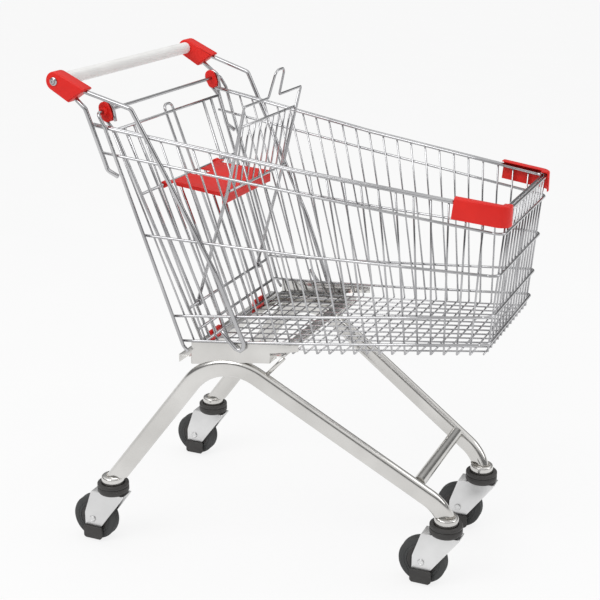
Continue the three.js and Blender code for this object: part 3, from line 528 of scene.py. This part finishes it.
def floor_spread(x):
    """How far the floor's long wires have fanned out at x."""
    return lerp(1, half_rear / half_front, (floor_front - x) / (floor_front - floor_rear))


for i in range(SIDE_WIRES):
    foot = wire_foot(i)
    y = foot.y - SIDE_WIRE - GAP
    lift = GAP + SEAT_IN if i in (0, LAST) else 0
    wire(bm, [V(foot.x, -y, foot.z + lift), V(foot.x, y, foot.z + lift)], FLOOR_WIRE)
for k, y in enumerate(nose_ys):
    lift = flat - SEAT_IN if k in (0, NOSE_WIRES - 1) else flat + GAP
    wire(bm, [V(x, y * floor_spread(x), rail_height("floor", x) + lift)
              for x in (floor_rear, STATIONS[1], floor_front)], FLOOR_WIRE)
    for i in range(SIDE_WIRES):
        x = FLOOR_NOSE_X - FLOOR_PITCH * i
        nugget(bm, V(x, y * floor_spread(x), rail_height("floor", x) + lift / 2), 1.5)
piece("floor_grid", bm, CHROME, "frame", "basket_floor", shade_all=True)

# ---------------------------------------------------------------- rear portal and handle arms
bm = bmesh.new()
head = on_panel(*POST_HEAD, POST_OUT)
left = [on_panel(-165, 460.8, POST_OUT), on_panel(*POST_FOOT, POST_OUT), head,
        V(PIVOT_X, head.y - 2, PIVOT_Z)]
right = [V(p.x, -p.y, p.z) for p in left[::-1]]
wire(bm, round_corners(left + right, [14, 14, 9, 9, 14, 14]), POST_WIRE, 14, V(1, 0, 0.01))
piece("rear_portal", bm, CHROME, "frame", "basket_rear_frame", shade_all=True)


def arm_path(in_cap, along):
    mid = (CAP_INNER_Y + CAP_OUTER_Y) / 2
    return round_corners([V(x, mid, z) for x, z in in_cap] + [on_panel(x, z, ARM_OUT) for x, z in along], 12)


U_CLIP = ((-47, 481), (-54, 475), (-64, 479), (-81, 498), (-90, 513))
UPPER_ARM = arm_path([(-376, 980), (-346, 969.8)],
                     [(-257, 943), (-199.8, 831), (-100.7, 632.6), (-46.5, 492)])
UPPER_ARM += [on_panel(x, z, ARM_OUT) for x, z in U_CLIP]
LOWER_ARM = arm_path([(-391, 972), (-372, 956.5)],
                     [(-350.5, 939), (-318.7, 841.9), (-312.4, 821.5), (-291.5, 810)])

for hand, side in SIDES:
    for which, path in (("upper", UPPER_ARM), ("lower", LOWER_ARM)):
        bm = bmesh.new()
        wire(bm, path, ARM_WIRE, 16, LEFT)
        piece(f"arm_{which}_{hand}", bm, CHROME, "frame", f"handle_{which}_arm_{hand}", side=side,
              shade_all=True)

# ---------------------------------------------------------------- handle
AT_HANDLE = (HANDLE_X, 0, HANDLE_Z)
cap_nose = arc(HANDLE_X, HANDLE_Z, CAP_RADIUS, range(62, 246, 12))
cap_tail = rounded_outline([cap_nose[-1], (-380, 950), (-341, 976.5), cap_nose[0]], [0, 2, 2, 0], 3)
CAP_OUTLINE = cap_nose[:-1] + cap_tail[:-1]

for hand, side in SIDES:
    bm = bmesh.new()
    slab(bm, CAP_OUTLINE, CAP_INNER_Y, CAP_OUTER_Y, 3.2, 5)
    cap = piece(f"cap_{hand}", bm, RED, "frame", f"handle_cap_{hand}", side=side)
    holes = []
    for path in (UPPER_ARM, LOWER_ARM):
        hole = bmesh.new()
        sweep(hole, path, disc(ARM_WIRE + 0.25, 24), LEFT)
        holes.append(cutter(hole, side))
    bore = bmesh.new()
    seat, shank = CORE_RADIUS + GAP, 3 + GAP
    lathe(bore, [(0, CAP_INNER_Y - 5), (seat, CAP_INNER_Y - 5), (seat, CAP_FLOOR_Y),
                 (shank, CAP_FLOOR_Y), (shank, CAP_OUTER_Y + 5), (0, CAP_OUTER_Y + 5)], "y", 32, AT_HANDLE)
    holes.append(cutter(bore, side))
    cut(cap, holes)

    bm = bmesh.new()
    y = CAP_OUTER_Y + GAP
    tip = CAP_FLOOR_Y + GAP
    lathe(bm, [(0, tip), (3, tip), (3, y), (8, y), (8, y + 1.2), (7.4, y + 1.8), (5.8, y + 2.2),
               (5.2, y + 1.6), (4.6, y + 2.0), (4.3, y + 4.0), (3.6, y + 4.7), (2.0, y + 4.7),
               (1.6, y + 3.2), (0, y + 3.2)], "y", 32, AT_HANDLE)
    piece(f"bolt_{hand}", bm, CHROME, "frame", f"handle_bolt_{hand}", side=side)

bm = bmesh.new()
end = CAP_INNER_Y - GAP
profile = [(CORE_RADIUS + GAP, -end), (GRIP_RADIUS - 0.8, -end), (GRIP_RADIUS, -end + 0.8),
           (GRIP_RADIUS, -80), (GRIP_RADIUS, 80), (GRIP_RADIUS, end - 0.8), (GRIP_RADIUS - 0.8, end),
           (CORE_RADIUS + GAP, end)]
lathe(bm, profile, "y", 48, AT_HANDLE)
piece("grip_sleeve", bm, WHITE, "frame", "handle_grip")

# ---------------------------------------------------------------- gate, its bearings and buffers
def gate_x(z):
    return PIVOT_X + (PIVOT_Z - z) / math.tan(math.radians(GATE_SLOPE))


def on_gate(share, z):
    half = lerp(GATE_FOOT_HALF, GATE_HEAD_HALF, (z - GATE_FOOT_Z) / (GATE_HEAD_Z - GATE_FOOT_Z))
    return V(gate_x(z), share * half, z)


GATE_BARS = (GATE_HEAD_Z, SEAT_PIVOT_Z, BACK_PIVOT_Z, GATE_LOW_BAR_Z, GATE_FOOT_Z)
AT_PIVOT = (PIVOT_X, 0, PIVOT_Z)

bm = bmesh.new()
for side in (1, -1):
    y = side * GATE_HEAD_HALF
    hook = [V(x, y, z) for x, z in arc(PIVOT_X, PIVOT_Z, HOOK_RADIUS, range(200, 19, -12))]
    foot = V(gate_x(GATE_FOOT_Z), side * GATE_FOOT_HALF, GATE_FOOT_Z)
    points = [foot, V(gate_x(GATE_HEAD_Z), y, GATE_HEAD_Z), V(PIVOT_X - 2, y, 910), *hook,
              V(PIVOT_X + 18, y, 911)]
    wire(bm, points, GATE_FRAME_WIRE, 14, LEFT)
    for share in (0.83, 0.667):
        wire(bm, [on_gate(side * share, z) for z in (GATE_HEAD_Z, GATE_FOOT_Z)], GATE_WIRE, 12, LEFT)
        for z in GATE_BARS:
            nugget(bm, on_gate(side * share, z), GATE_WIRE + 0.3)
    for share in (0.48, 0.28):
        wire(bm, [on_gate(side * share, z) for z in (SEAT_PIVOT_Z, GATE_FOOT_Z)], GATE_WIRE, 12, LEFT)
for z in GATE_BARS:
    wire(bm, [on_gate(-1, z), on_gate(1, z)], GATE_WIRE, 12)
loop = [V(gate_x(z), y, z) for y, z in ((-LOOP_HALF, GATE_FOOT_Z), (-LOOP_HALF, LOOP_TOP_Z),
                                        (LOOP_HALF, LOOP_TOP_Z), (LOOP_HALF, GATE_FOOT_Z))]
wire(bm, round_corners(loop, 11.2, 8), GATE_WIRE, 12, AHEAD)
piece("rear_gate", bm, CHROME, "gate", "gate_frame", shade_all=True)

for hand, side in SIDES:
    bm = bmesh.new()
    core = HOOK_RADIUS - GATE_FRAME_WIRE - GAP - 0.7
    bore = POST_WIRE + GAP
    inner, neck, outer = BEARING_Y
    lathe(bm, [(bore, inner), (core, inner), (core, neck), (8, neck), (8, outer - 0.8), (7.2, outer),
               (bore, outer)], "y", 40, AT_PIVOT)
    tilt = Matrix.Translation(Vector(AT_PIVOT)) @ Matrix.Rotation(math.radians(GATE_SLOPE - 90), 4, "Y")
    for low in (inner + GAP, neck - 5.3):
        cheek = bmesh.new()
        outline = arc(0, 6, 12, range(0, 181, 15)) + arc(0, -10, 12, range(180, 361, 15))
        slab(cheek, outline, low, low + 5, 1.4, 3)
        bmesh.ops.transform(cheek, matrix=tilt, verts=cheek.verts)
        absorb(bm, cheek)
    spool = piece(f"bearing_{hand}", bm, RED, "frame", f"gate_bearing_{hand}", side=side)
    hole = bmesh.new()
    lathe(hole, [(0, inner - 8), (bore, inner - 8), (bore, outer + 5), (0, outer + 5)], "y", 32, AT_PIVOT)
    cut(spool, [cutter(hole, side)])

    bm = bmesh.new()
    low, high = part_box(f"gate_buffer_{hand}")
    x0, x1 = low.x / MM - SHIFT, high.x / MM - SHIFT
    z0, z1 = low.z / MM, high.z / MM
    outline = rounded_outline([(x0, z0), (x1, z0), (x1, z1), (x0, z1)], [1.2, 1.2, 2.4, 2.4], 4)
    slab(bm, outline, *BUFFER_Y, 1.6, 3)
    piece(f"buffer_{hand}", bm, RED, "frame", f"gate_buffer_{hand}", side=side)

# ---------------------------------------------------------------- child seat
back_x, plate_x = gate_x(BACK_PIVOT_Z), gate_x(SEAT_PIVOT_Z)
PAIR = SEAT_WIRE + 0.1          # each of the two leg wires lies this far from their shared middle


def in_plane(spot, y):
    return V(spot[0], y, spot[1])


def back_leg(side, inset):
    return [V(back_x, side * (BACK_PIVOT_HALF + inset), BACK_PIVOT_Z + 9),
            in_plane(BACK_KNEE, side * (133 + inset)), in_plane(BACK_HEAD, side * (134 + inset))]


def pin_ring(bm, x, y, z, half, radius, edge):
    """A ring with rounded edges that turns on one of the gate's cross wires."""
    bore = GATE_WIRE + GAP
    lathe(bm, [(bore, y - half), (radius - edge, y - half), (radius, y - half + edge),
               (radius, y + half - edge), (radius - edge, y + half), (bore, y + half)], "y", 32, (x, 0, z))


bm = bmesh.new()
hump = [in_plane(BACK_HEAD, -HUMP_FOOT_HALF), in_plane(HUMP, -HUMP_TOP_HALF),
        in_plane(HUMP, HUMP_TOP_HALF), in_plane(BACK_HEAD, HUMP_FOOT_HALF)]
path = round_corners([*back_leg(-1, PAIR), *hump, *back_leg(1, PAIR)[::-1]], [4, 4, 4, 14, 14, 4, 4, 4], 6)
wire(bm, path, SEAT_WIRE, 12, AHEAD)
for side in (1, -1):
    leg = back_leg(side, -PAIR)
    leg[2] = leg[1].lerp(leg[2], 0.94)
    wire(bm, leg, SEAT_WIRE, 12, LEFT)
    pin_ring(bm, back_x, side * BACK_PIVOT_HALF, BACK_PIVOT_Z, 4.5, 7.5, 0.5)
for bar in (BACK_LOW_BAR, BACK_HIGH_BAR):
    wire(bm, [in_plane(bar, -BACK_BAR_HALF), in_plane(bar, BACK_BAR_HALF)], SEAT_WIRE, 12)
for k in range(BACK_BARS):
    y = BACK_BAR_SPREAD * (2 * k / (BACK_BARS - 1) - 1)
    ends = [in_plane(BACK_LOW_BAR, y), in_plane(BACK_HIGH_BAR, y)]
    wire(bm, ends, SEAT_BAR_WIRE, 10, LEFT)
    for end in ends:
        nugget(bm, end, 2.9)
piece("seat_back", bm, CHROME, "seat_back", "seat_back_frame", shade_all=True)

bm = bmesh.new()
LIP_X = PLATE_FRONT_X - 3
profile = rounded_outline([(PLATE_REAR_X, 772), (PLATE_FRONT_X, 761), (PLATE_FRONT_X, 736), (LIP_X, 736),
                           (LIP_X, 758), (PLATE_REAR_X, 769)], [1.2, 4.0, 1.2, 1.2, 2.0, 1.2], 5)
count = len(profile)
ys = [-1, -0.985, -0.95] + [k / 12 for k in range(-11, 12)] + [0.95, 0.985, 1]
rows = []
for s in ys:
    row = []
    for x, z in profile:
        t = min(max((x - PLATE_REAR_X) / (PLATE_FRONT_X - PLATE_REAR_X), 0), 1)
        dish = 1.6 * max(0.0, 1 - (abs(s) / 0.9) ** 4) * math.sin(math.pi * t)
        drop = 0.9 * max(0.0, abs(s) - 0.97) / 0.03
        row.append(bm.verts.new(V(x, s * lerp(PLATE_REAR_HALF, PLATE_FRONT_HALF, t), z - dish - drop)))
    rows.append(row)
for a, b in zip(rows, rows[1:]):
    for k in range(count):
        m = (k + 1) % count
        bm.faces.new((a[k], b[k], b[m], a[m]))
bm.faces.new(rows[0])
bm.faces.new(rows[-1][::-1])
bmesh.ops.recalc_face_normals(bm, faces=bm.faces)
seat = piece("seat_tray", bm, RED, "seat_plate", "seat_plate")
notch = bmesh.new()
slab(notch, [(-300, 700), (NOTCH_X, 700), (NOTCH_X, 800), (-300, 800)], -NOTCH_HALF, NOTCH_HALF, 0)
cut(seat, [cutter(notch)])
bm = bmesh.new()
for side in (1, -1):
    pin_ring(bm, plate_x, side * SEAT_PIVOT_HALF, SEAT_PIVOT_Z, 7, 7, 0.6)
    ear = [(plate_x + 6.2, 769.2), (-252, 769.2), (-252, 771.8), (plate_x + 4.2, 771.8)]
    slab(bm, rounded_outline(ear, [0.6] * 4, 3), *sorted((side * 89, side * 121)), 0.5, 2)
for k in range(-2, 3):
    if k:
        rib = [(-226, 765.2), (-150, 758.2), (-150, 755.2), (-226, 762.2)]
        slab(bm, rib, k * 36 - 1.2, k * 36 + 1.2, 0.5, 2)
for side in (1, -1):
    skirt = [V(-255, side * 98.9, 766.2), V(-143, side * 110.2, 756.2)]
    sweep(bm, skirt, [(-1.1, -3.4), (1.1, -3.4), (1.1, 3.0), (-1.1, 3.0)])
piece("seat_hinge_ears", bm, RED, "seat_plate")

# ---------------------------------------------------------------- nose corner protectors
INSIDE = RIM_OUT + RIM_WIRE + GAP
SKIN = INSIDE + 2.6
corner = V(nose_x(rim_z), half_width(STATIONS[2], rim_z), rim_z)
run_x = corner.x - 92
run = V(run_x, NOSE_HALF + RIM_TAPER * (STATIONS[2] - run_x), rail_height("rim", run_x))
shell_path = round_corners([run, corner, V(corner.x, 139, rim_z)], CORNER_RADIUS, 10)
section = rounded_outline([(INSIDE, -30), (SKIN, -30), (SKIN, 10), (-INSIDE, 10), (-INSIDE, 7.4),
                           (INSIDE, 7.4)], [0.8, 1.2, 3.4, 1.2, 0.8, 1.6], 4)
for hand, side in SIDES:
    bm = bmesh.new()
    sweep(bm, shell_path, section)
    ends = [f for f in bm.faces if len(f.verts) > 8]
    bevel(bm, [e for f in ends for e in f.edges], 0.7, 2)
    bmesh.ops.recalc_face_normals(bm, faces=bm.faces)
    piece(f"corner_guard_{hand}", bm, RED, "frame", f"corner_protector_{hand}", side=side)

# ---------------------------------------------------------------- chassis
BEND_X = ((SWIVEL_X * LEG_FOOT_RISE + LEG_END_Z - LEG_CROWN[2] - LEG_CROWN[0] * LEG_FRONT_RISE)
          / (LEG_FOOT_RISE - LEG_FRONT_RISE))


def leg_z(x):
    return LEG_CROWN[2] - (x - LEG_CROWN[0]) * LEG_FRONT_RISE


def leg_y(x):
    return lerp(LEG_CROWN[1], LEG_BEND_Y, (x - LEG_CROWN[0]) / (BEND_X - LEG_CROWN[0]))


def flat_oval(height, width, steps=10):
    r = width / 2
    shape = []
    for end in (1, -1):
        for k in range(steps + 1):
            a = math.pi * k / steps
            shape.append((end * r * math.cos(a), end * (height / 2 - r + r * math.sin(a))))
    return shape


LEG_PATH = round_corners([
    V(LEG_CROWN[0] - (LEG_CROWN[2] - LEG_END_Z) / LEG_REAR_RISE, TRACK["rear"], LEG_END_Z),
    Vector(LEG_CROWN), V(BEND_X, LEG_BEND_Y, leg_z(BEND_X)), V(SWIVEL_X, TRACK["front"], LEG_END_Z),
], LEG_BEND_RADII, 20)


def weld_bead(bm, outline, radius=1.7):
    """A slightly uneven bead along a line, as a hand weld leaves."""
    for k, (a, b) in enumerate(zip(outline, outline[1:])):
        steps = max(1, round((b - a).length / 2.2))
        for s in range(steps):
            size = radius * (1 + 0.18 * math.sin(2.7 * k + 1.9 * s))
            made = bmesh.ops.create_icosphere(bm, subdivisions=2, radius=size)
            bmesh.ops.translate(bm, verts=made["verts"], vec=a.lerp(b, s / steps))


for hand, side in SIDES:
    bm = bmesh.new()
    sweep(bm, LEG_PATH, flat_oval(LEG_HEIGHT, LEG_WIDTH))
    every = bm.verts[:] + bm.edges[:] + bm.faces[:]
    cutting = bmesh.ops.bisect_plane(bm, geom=every, plane_co=V(0, 0, CUP_TOP + GAP), plane_no=UP,
                                     clear_inner=True)
    rim = [e for e in cutting["geom_cut"] if isinstance(e, bmesh.types.BMEdge)]
    bmesh.ops.holes_fill(bm, edges=rim, sides=0)
    bmesh.ops.recalc_face_normals(bm, faces=bm.faces)
    piece(f"leg_{hand}", bm, ZINC, "frame", f"leg_tube_{hand}", side=side)

    bm = bmesh.new()
    weld_z = CUP_TOP + 1
    for end, sign, slope, start in (("rear", -1, LEG_REAR_SLOPE, LEG_PATH[0]),
                                    ("front", 1, LEG_FOOT_SLOPE, LEG_PATH[-1])):
        reach = (weld_z - LEG_END_Z) / math.tan(math.radians(slope))
        centre = V(start.x - sign * reach, start.y, weld_z)
        swivel = V(sign * SWIVEL_X, TRACK[end], weld_z)
        outline = flat_oval(LEG_HEIGHT / math.sin(math.radians(slope)), LEG_WIDTH, 14)
        points = [centre + V(b, a, 0) for a, b in outline]
        inside = [(p - swivel).length < CUP_RADIUS - 1 for p in points]
        for k, p in enumerate(points):
            q = points[(k + 1) % len(points)]
            if inside[k] and inside[(k + 1) % len(points)]:
                weld_bead(bm, [p, q], 1.5)
    piece(f"foot_welds_{hand}", bm, WELD, "frame", side=side, shade_all=True)

    bm = bmesh.new()
    foot_x, head_x = BRACE_X
    foot_z = leg_z(foot_x) + LEG_HEIGHT / 2 / math.cos(math.radians(LEG_FRONT_SLOPE)) + 1.2
    y = leg_y(foot_x)
    points = [V(foot_x, y, foot_z), V(lerp(foot_x, head_x, 0.5), y, lerp(foot_z, 467, 0.46)),
              V(head_x, y, 464)]
    wire(bm, round_corners(points, 14), BRACE_WIRE, 16, LEFT)
    piece(f"brace_{hand}", bm, ZINC, "frame", f"brace_rod_{hand}", side=side, shade_all=True)

bm = bmesh.new()
r = CROSS_TUBE_RADIUS
end = leg_y(CROSS_TUBE_X + r) - LEG_WIDTH / 2 - GAP
lathe(bm, [(0, -end), (r, -end), (r, 0), (r, end), (0, end)], "y", 48, (CROSS_TUBE_X, 0, CROSS_TUBE_Z))
piece("cross_tube", bm, ZINC, "frame", "front_cross_tube")


def softened(name, node, mat, width=0.5):
    """A CAD sheet part with its folded edges rounded."""
    bm = bmesh.new()
    bm.from_mesh(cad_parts[node].data)
    bmesh.ops.remove_doubles(bm, verts=bm.verts, dist=1e-6)
    bmesh.ops.dissolve_limit(bm, angle_limit=math.radians(2), verts=bm.verts, edges=bm.edges)
    edges = [e for e in bm.edges if len(e.link_faces) == 2 and e.calc_face_angle() > math.radians(35)]
    bevel(bm, edges, width * MM, 2, clamp=True)
    back = Matrix.Translation(V(-SHIFT, 0, 0)) @ Matrix.Scale(1 / MM, 4)
    bmesh.ops.transform(bm, matrix=back, verts=bm.verts)
    return piece(name, bm, mat, "frame", node)


softened("cross_channel", "rear_cross_channel", ZINC)
softened("cross_strip", "front_cross_strip", ZINC, 0.4)
for hand, _ in SIDES:
    softened(f"leg_bracket_{hand}", f"bracket_{hand}", ZINC, 0.4)

# ---------------------------------------------------------------- casters
def fork_piece(bm):
    leg = rounded_outline([(-46, FORK_TOP - 0.2), (-64, 62), (-64, 30), (-28, 30), (35, FORK_TOP - 0.2)],
                          [3, 14, 6, 8, 3], 5)
    for low in (FORK_INNER, -FORK_OUTER):
        slab(bm, leg, low, low + FORK_SHEET, 0.7, 2)
    crown = [(-45.6, FORK_TOP - 2.6), (33.6, FORK_TOP - 2.6), (33.6, FORK_TOP), (-45.6, FORK_TOP)]
    slab(bm, rounded_outline(crown, [0.5, 0.5, 1.2, 1.2], 3), -FORK_OUTER + 0.2, FORK_OUTER - 0.2, 1.8, 4)
    top = CUP_TOP - 4
    lathe(bm, [(0, FORK_TOP - 1), (STEM_RADIUS, FORK_TOP - 1), (STEM_RADIUS, top - 1),
               (STEM_RADIUS - 1, top), (0, top)], "z", 32)


def guard_piece(bm):
    outer = rounded_outline([(-67, 8), (-63, 4), (-27, 4), (-22, 9), (-22, 33), (-67, 33)],
                            [3, 3, 3, 3, 1.5, 1.5], 4)
    for low, high in ((FORK_OUTER + 0.1, GUARD_OUTER), (-GUARD_OUTER, -FORK_OUTER - 0.1)):
        slab(bm, outer, low, high, 1.4, 3)
    skirt = rounded_outline([(-66, 9), (-62, 5), (-28, 5), (-23, 10), (-23, 29.6), (-66, 29.6)],
                            [2.5] * 4 + [1] * 2, 3)
    for low, high in ((FORK_INNER, FORK_OUTER + 0.4), (-FORK_OUTER - 0.4, -FORK_INNER)):
        slab(bm, skirt, low, high, 0)


def groove(y):
    edge, bottom, half = WHEEL_RADIUS - 0.2, WHEEL_RADIUS - 1.3, 0.9
    return [(edge, y - half), (bottom, y - half * 0.6), (bottom, y + half * 0.6), (edge, y + half)]


def tyre_piece(bm):
    wall = [(HUB_RADIUS, TYRE_HALF), (35, TYRE_HALF), (35.8, 11.2), (37.4, 11.2), (38.2, TYRE_HALF),
            (44.5, TYRE_HALF), (47.4, 11.4), (49.3, 9.9)]
    profile = [(r, -y) for r, y in wall]
    profile += [(WHEEL_RADIUS, -8)] + groove(-4.6) + groove(0) + groove(4.6) + [(WHEEL_RADIUS, 8)]
    profile += wall[::-1]
    lathe(bm, profile, "y", 72)


def hub_piece(bm):
    r = HUB_RADIUS - GAP
    bore = AXLE_RADIUS + GAP + 0.1
    face = FORK_INNER - GAP
    wall = [(bore, face), (8.6, face), (10, 13.6), (10.6, 9.4), (13, 8.6), (24, 8.6), (27, 9.2),
            (28.4, 10), (r, 10)]
    lathe(bm, [(a, -b) for a, b in wall] + wall[::-1], "y", 60)
    for k in range(6):
        turn = Matrix.Rotation(math.pi * k / 3, 4, "Y")
        rib = bmesh.new()
        for low in (8.2, -9.9):
            slab(rib, [(10, -1.2), (28, -1.2), (28, 1.2), (10, 1.2)], low, low + 1.7, 0.5, 2)
        bmesh.ops.transform(rib, matrix=turn, verts=rib.verts)
        absorb(bm, rib)


def recess_shade_disc(bm):
    """A dark disc laid over the hub's outer rim on both faces, painted shade of the recess between hub and
    tyre.
    """
    for face in (1, -1):
        profile = [(21.5, 10.2), (31.2, 10.2), (31.6, 11.2), (29, 11.8), (22.5, 11.2)]
        lathe(bm, [(r, face * y) for r, y in profile], "y", 60)


def axle_piece(bm):
    head = FORK_OUTER + GAP
    half = [(AXLE_RADIUS, head), (7, head), (7, head + 1.2), (6, head + 2.4), (4.2, head + 2.4),
            (3.6, head + 1.7), (0, head + 1.7)]
    lathe(bm, [(r, -y) for r, y in half[::-1]] + half, "y", 32)


def bumper_piece(bm):
    low, high, r = FORK_TOP + GAP, BUMPER_TOP, BUMPER_RADIUS
    inner, seat = STEM_RADIUS + 0.6, CUP_RADIUS + GAP
    lathe(bm, [(inner, low), (r - 4.5, low), (r - 3, low + 1), (r - 2.6, low + 3), (r - 0.6, low + 4.4),
               (r, low + 5.4), (r, low + 14), (r - 0.5, low + 14.6), (r - 1.6, low + 15),
               (r - 1.6, low + 15.8), (r - 0.5, low + 16.2), (r, low + 16.8), (r, high - 1.6),
               (r - 0.5, high - 0.5), (r - 1.6, high), (CUP_RADIUS + 1.2, high), (seat, high - 0.9),
               (seat, CUP_FOOT), (inner, CUP_FOOT)], "z", 60)


def cup_piece(bm):
    bore, foot = STEM_RADIUS + 0.4, CUP_FOOT + GAP
    lathe(bm, [(bore, foot), (23.4, foot), (CUP_RADIUS, foot + 1.1), (CUP_RADIUS, CUP_TOP - 4),
               (23.6, CUP_TOP - 1.6), (21.8, CUP_TOP - 0.3), (19.5, CUP_TOP), (bore, CUP_TOP)], "z", 56)


CASTER = (
    ("fork", fork_piece, PRESSED, "fork", "caster_fork", 0, 0),
    ("fork_guard", guard_piece, GUARD, "fork", None, 0, 0),
    ("axle_bolt", axle_piece, PRESSED, "fork", "caster_axle", AXLE_X, WHEEL_RADIUS),
    ("hub", hub_piece, HUB, "wheel", "wheel_hub", AXLE_X, WHEEL_RADIUS),
    # next entry: a dark disc over the hub, painted shade of the recess between hub and tyre
    ("recess_shade_disc", recess_shade_disc, GUARD, "wheel", None, AXLE_X, WHEEL_RADIUS),
    ("tyre", tyre_piece, RUBBER, "wheel", "wheel_tyre", AXLE_X, WHEEL_RADIUS),
    ("bumper", bumper_piece, GUARD, "frame", "caster_bumper", 0, 0),
    ("cup", cup_piece, ZINC, "frame", "caster_cup", 0, 0),
)
for end, x in (("rear", -SWIVEL_X), ("front", SWIVEL_X)):
    for hand, side in SIDES:
        for name, build, mat, body, node, dx, z in CASTER:
            bm = bmesh.new()
            build(bm)
            carrier = body if body == "frame" else f"{body}_{end}_{hand}"
            nodes = [f"{node}_{end}_{hand}"] if node else []
            piece(f"{name}_{end}_{hand}", bm, mat, carrier, *nodes, at=(x + dx, side * TRACK[end], z))

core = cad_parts["handle_core"]
core.data.materials.clear()
core.data.materials.append(CHROME)

# ---------------------------------------------------------------- floor, light and camera
FLOOR_SIZE = 60
FLOOR_GLOW = 0.82               # share of plain white in the floor that the camera and gloss see

bm = bmesh.new()
bmesh.ops.create_grid(bm, x_segments=8, y_segments=8, size=FLOOR_SIZE)
floor_mat, tree, shader = new_material("floor", (0.86, 0.86, 0.86), 0.0, 0.7)
vary(tree, shader, "Base Color", object_noise(tree, 3), (0.85, 0.85, 0.85), (0.87, 0.87, 0.87))
nodes, links = tree.nodes, tree.links
glow = nodes.new("ShaderNodeEmission")
glow.inputs["Color"].default_value = (1, 1, 1, 1)
paths = nodes.new("ShaderNodeLightPath")
seen = nodes.new("ShaderNodeMath")
seen.operation = "MAXIMUM"
share = nodes.new("ShaderNodeMath")
share.operation = "MULTIPLY"
share.inputs[1].default_value = FLOOR_GLOW
mix = nodes.new("ShaderNodeMixShader")
links.new(paths.outputs["Is Camera Ray"], seen.inputs[0])
links.new(paths.outputs["Is Glossy Ray"], seen.inputs[1])
links.new(seen.outputs["Value"], share.inputs[0])
links.new(share.outputs["Value"], mix.inputs["Fac"])
links.new(shader.outputs["BSDF"], mix.inputs[1])
links.new(glow.outputs["Emission"], mix.inputs[2])
links.new(mix.outputs["Shader"], nodes["Material Output"].inputs["Surface"])
floor = link("floor", bm)
floor.data.materials.append(floor_mat)

# A studio dome: pale at the horizon, a darker band above it for the plated tubes to mirror, white overhead.
world = bpy.data.worlds.new("studio")
bpy.context.scene.world = world
world.use_nodes = True
nodes, links = world.node_tree.nodes, world.node_tree.links
coords = nodes.new("ShaderNodeTexCoord")
split = nodes.new("ShaderNodeSeparateXYZ")
dome = nodes.new("ShaderNodeValToRGB")
stops = [(0.0, 0.92), (0.09, 0.85), (0.17, 0.14), (0.40, 0.24), (0.66, 1.0)]
while len(dome.color_ramp.elements) < len(stops):
    dome.color_ramp.elements.new(0.5)
for element, (place, value) in zip(dome.color_ramp.elements, stops):
    element.position = place
    element.color = (value, value, value, 1)
links.new(coords.outputs["Generated"], split.inputs["Vector"])
links.new(split.outputs["Z"], dome.inputs["Fac"])
links.new(dome.outputs["Color"], nodes["Background"].inputs["Color"])
nodes["Background"].inputs["Strength"].default_value = 1.0


def area_light(name, location, target, size, power):
    data = bpy.data.lights.new(name, "AREA")
    data.shape = "RECTANGLE"
    data.size, data.size_y = size
    data.energy = power
    obj = bpy.data.objects.new(name, data)
    obj.location = location
    obj.rotation_euler = (Vector(target) - Vector(location)).to_track_quat("-Z", "Y").to_euler()
    bpy.context.scene.collection.objects.link(obj)


area_light("key", (-1.2, -2.4, 3.0), (0, 0, 0.5), (2.4, 1.6), 42)
area_light("fill", (3.0, 0.6, 2.2), (0, 0, 0.5), (1.6, 2.0), 18)

YAW, PITCH = 0.4080, 0.3253
camera_data = bpy.data.cameras.new("camera")
camera_data.lens = 76.6
camera_data.sensor_width = 36
camera = bpy.data.objects.new("camera", camera_data)
camera.location = (0.9778, -2.3183, 1.3694)
forward = V(-math.sin(YAW) * math.cos(PITCH), math.cos(YAW) * math.cos(PITCH), -math.sin(PITCH))
camera.rotation_euler = forward.to_track_quat("-Z", "Y").to_euler()
bpy.context.scene.collection.objects.link(camera)
bpy.context.scene.camera = camera
bpy.context.scene.view_settings.view_transform = "Standard"
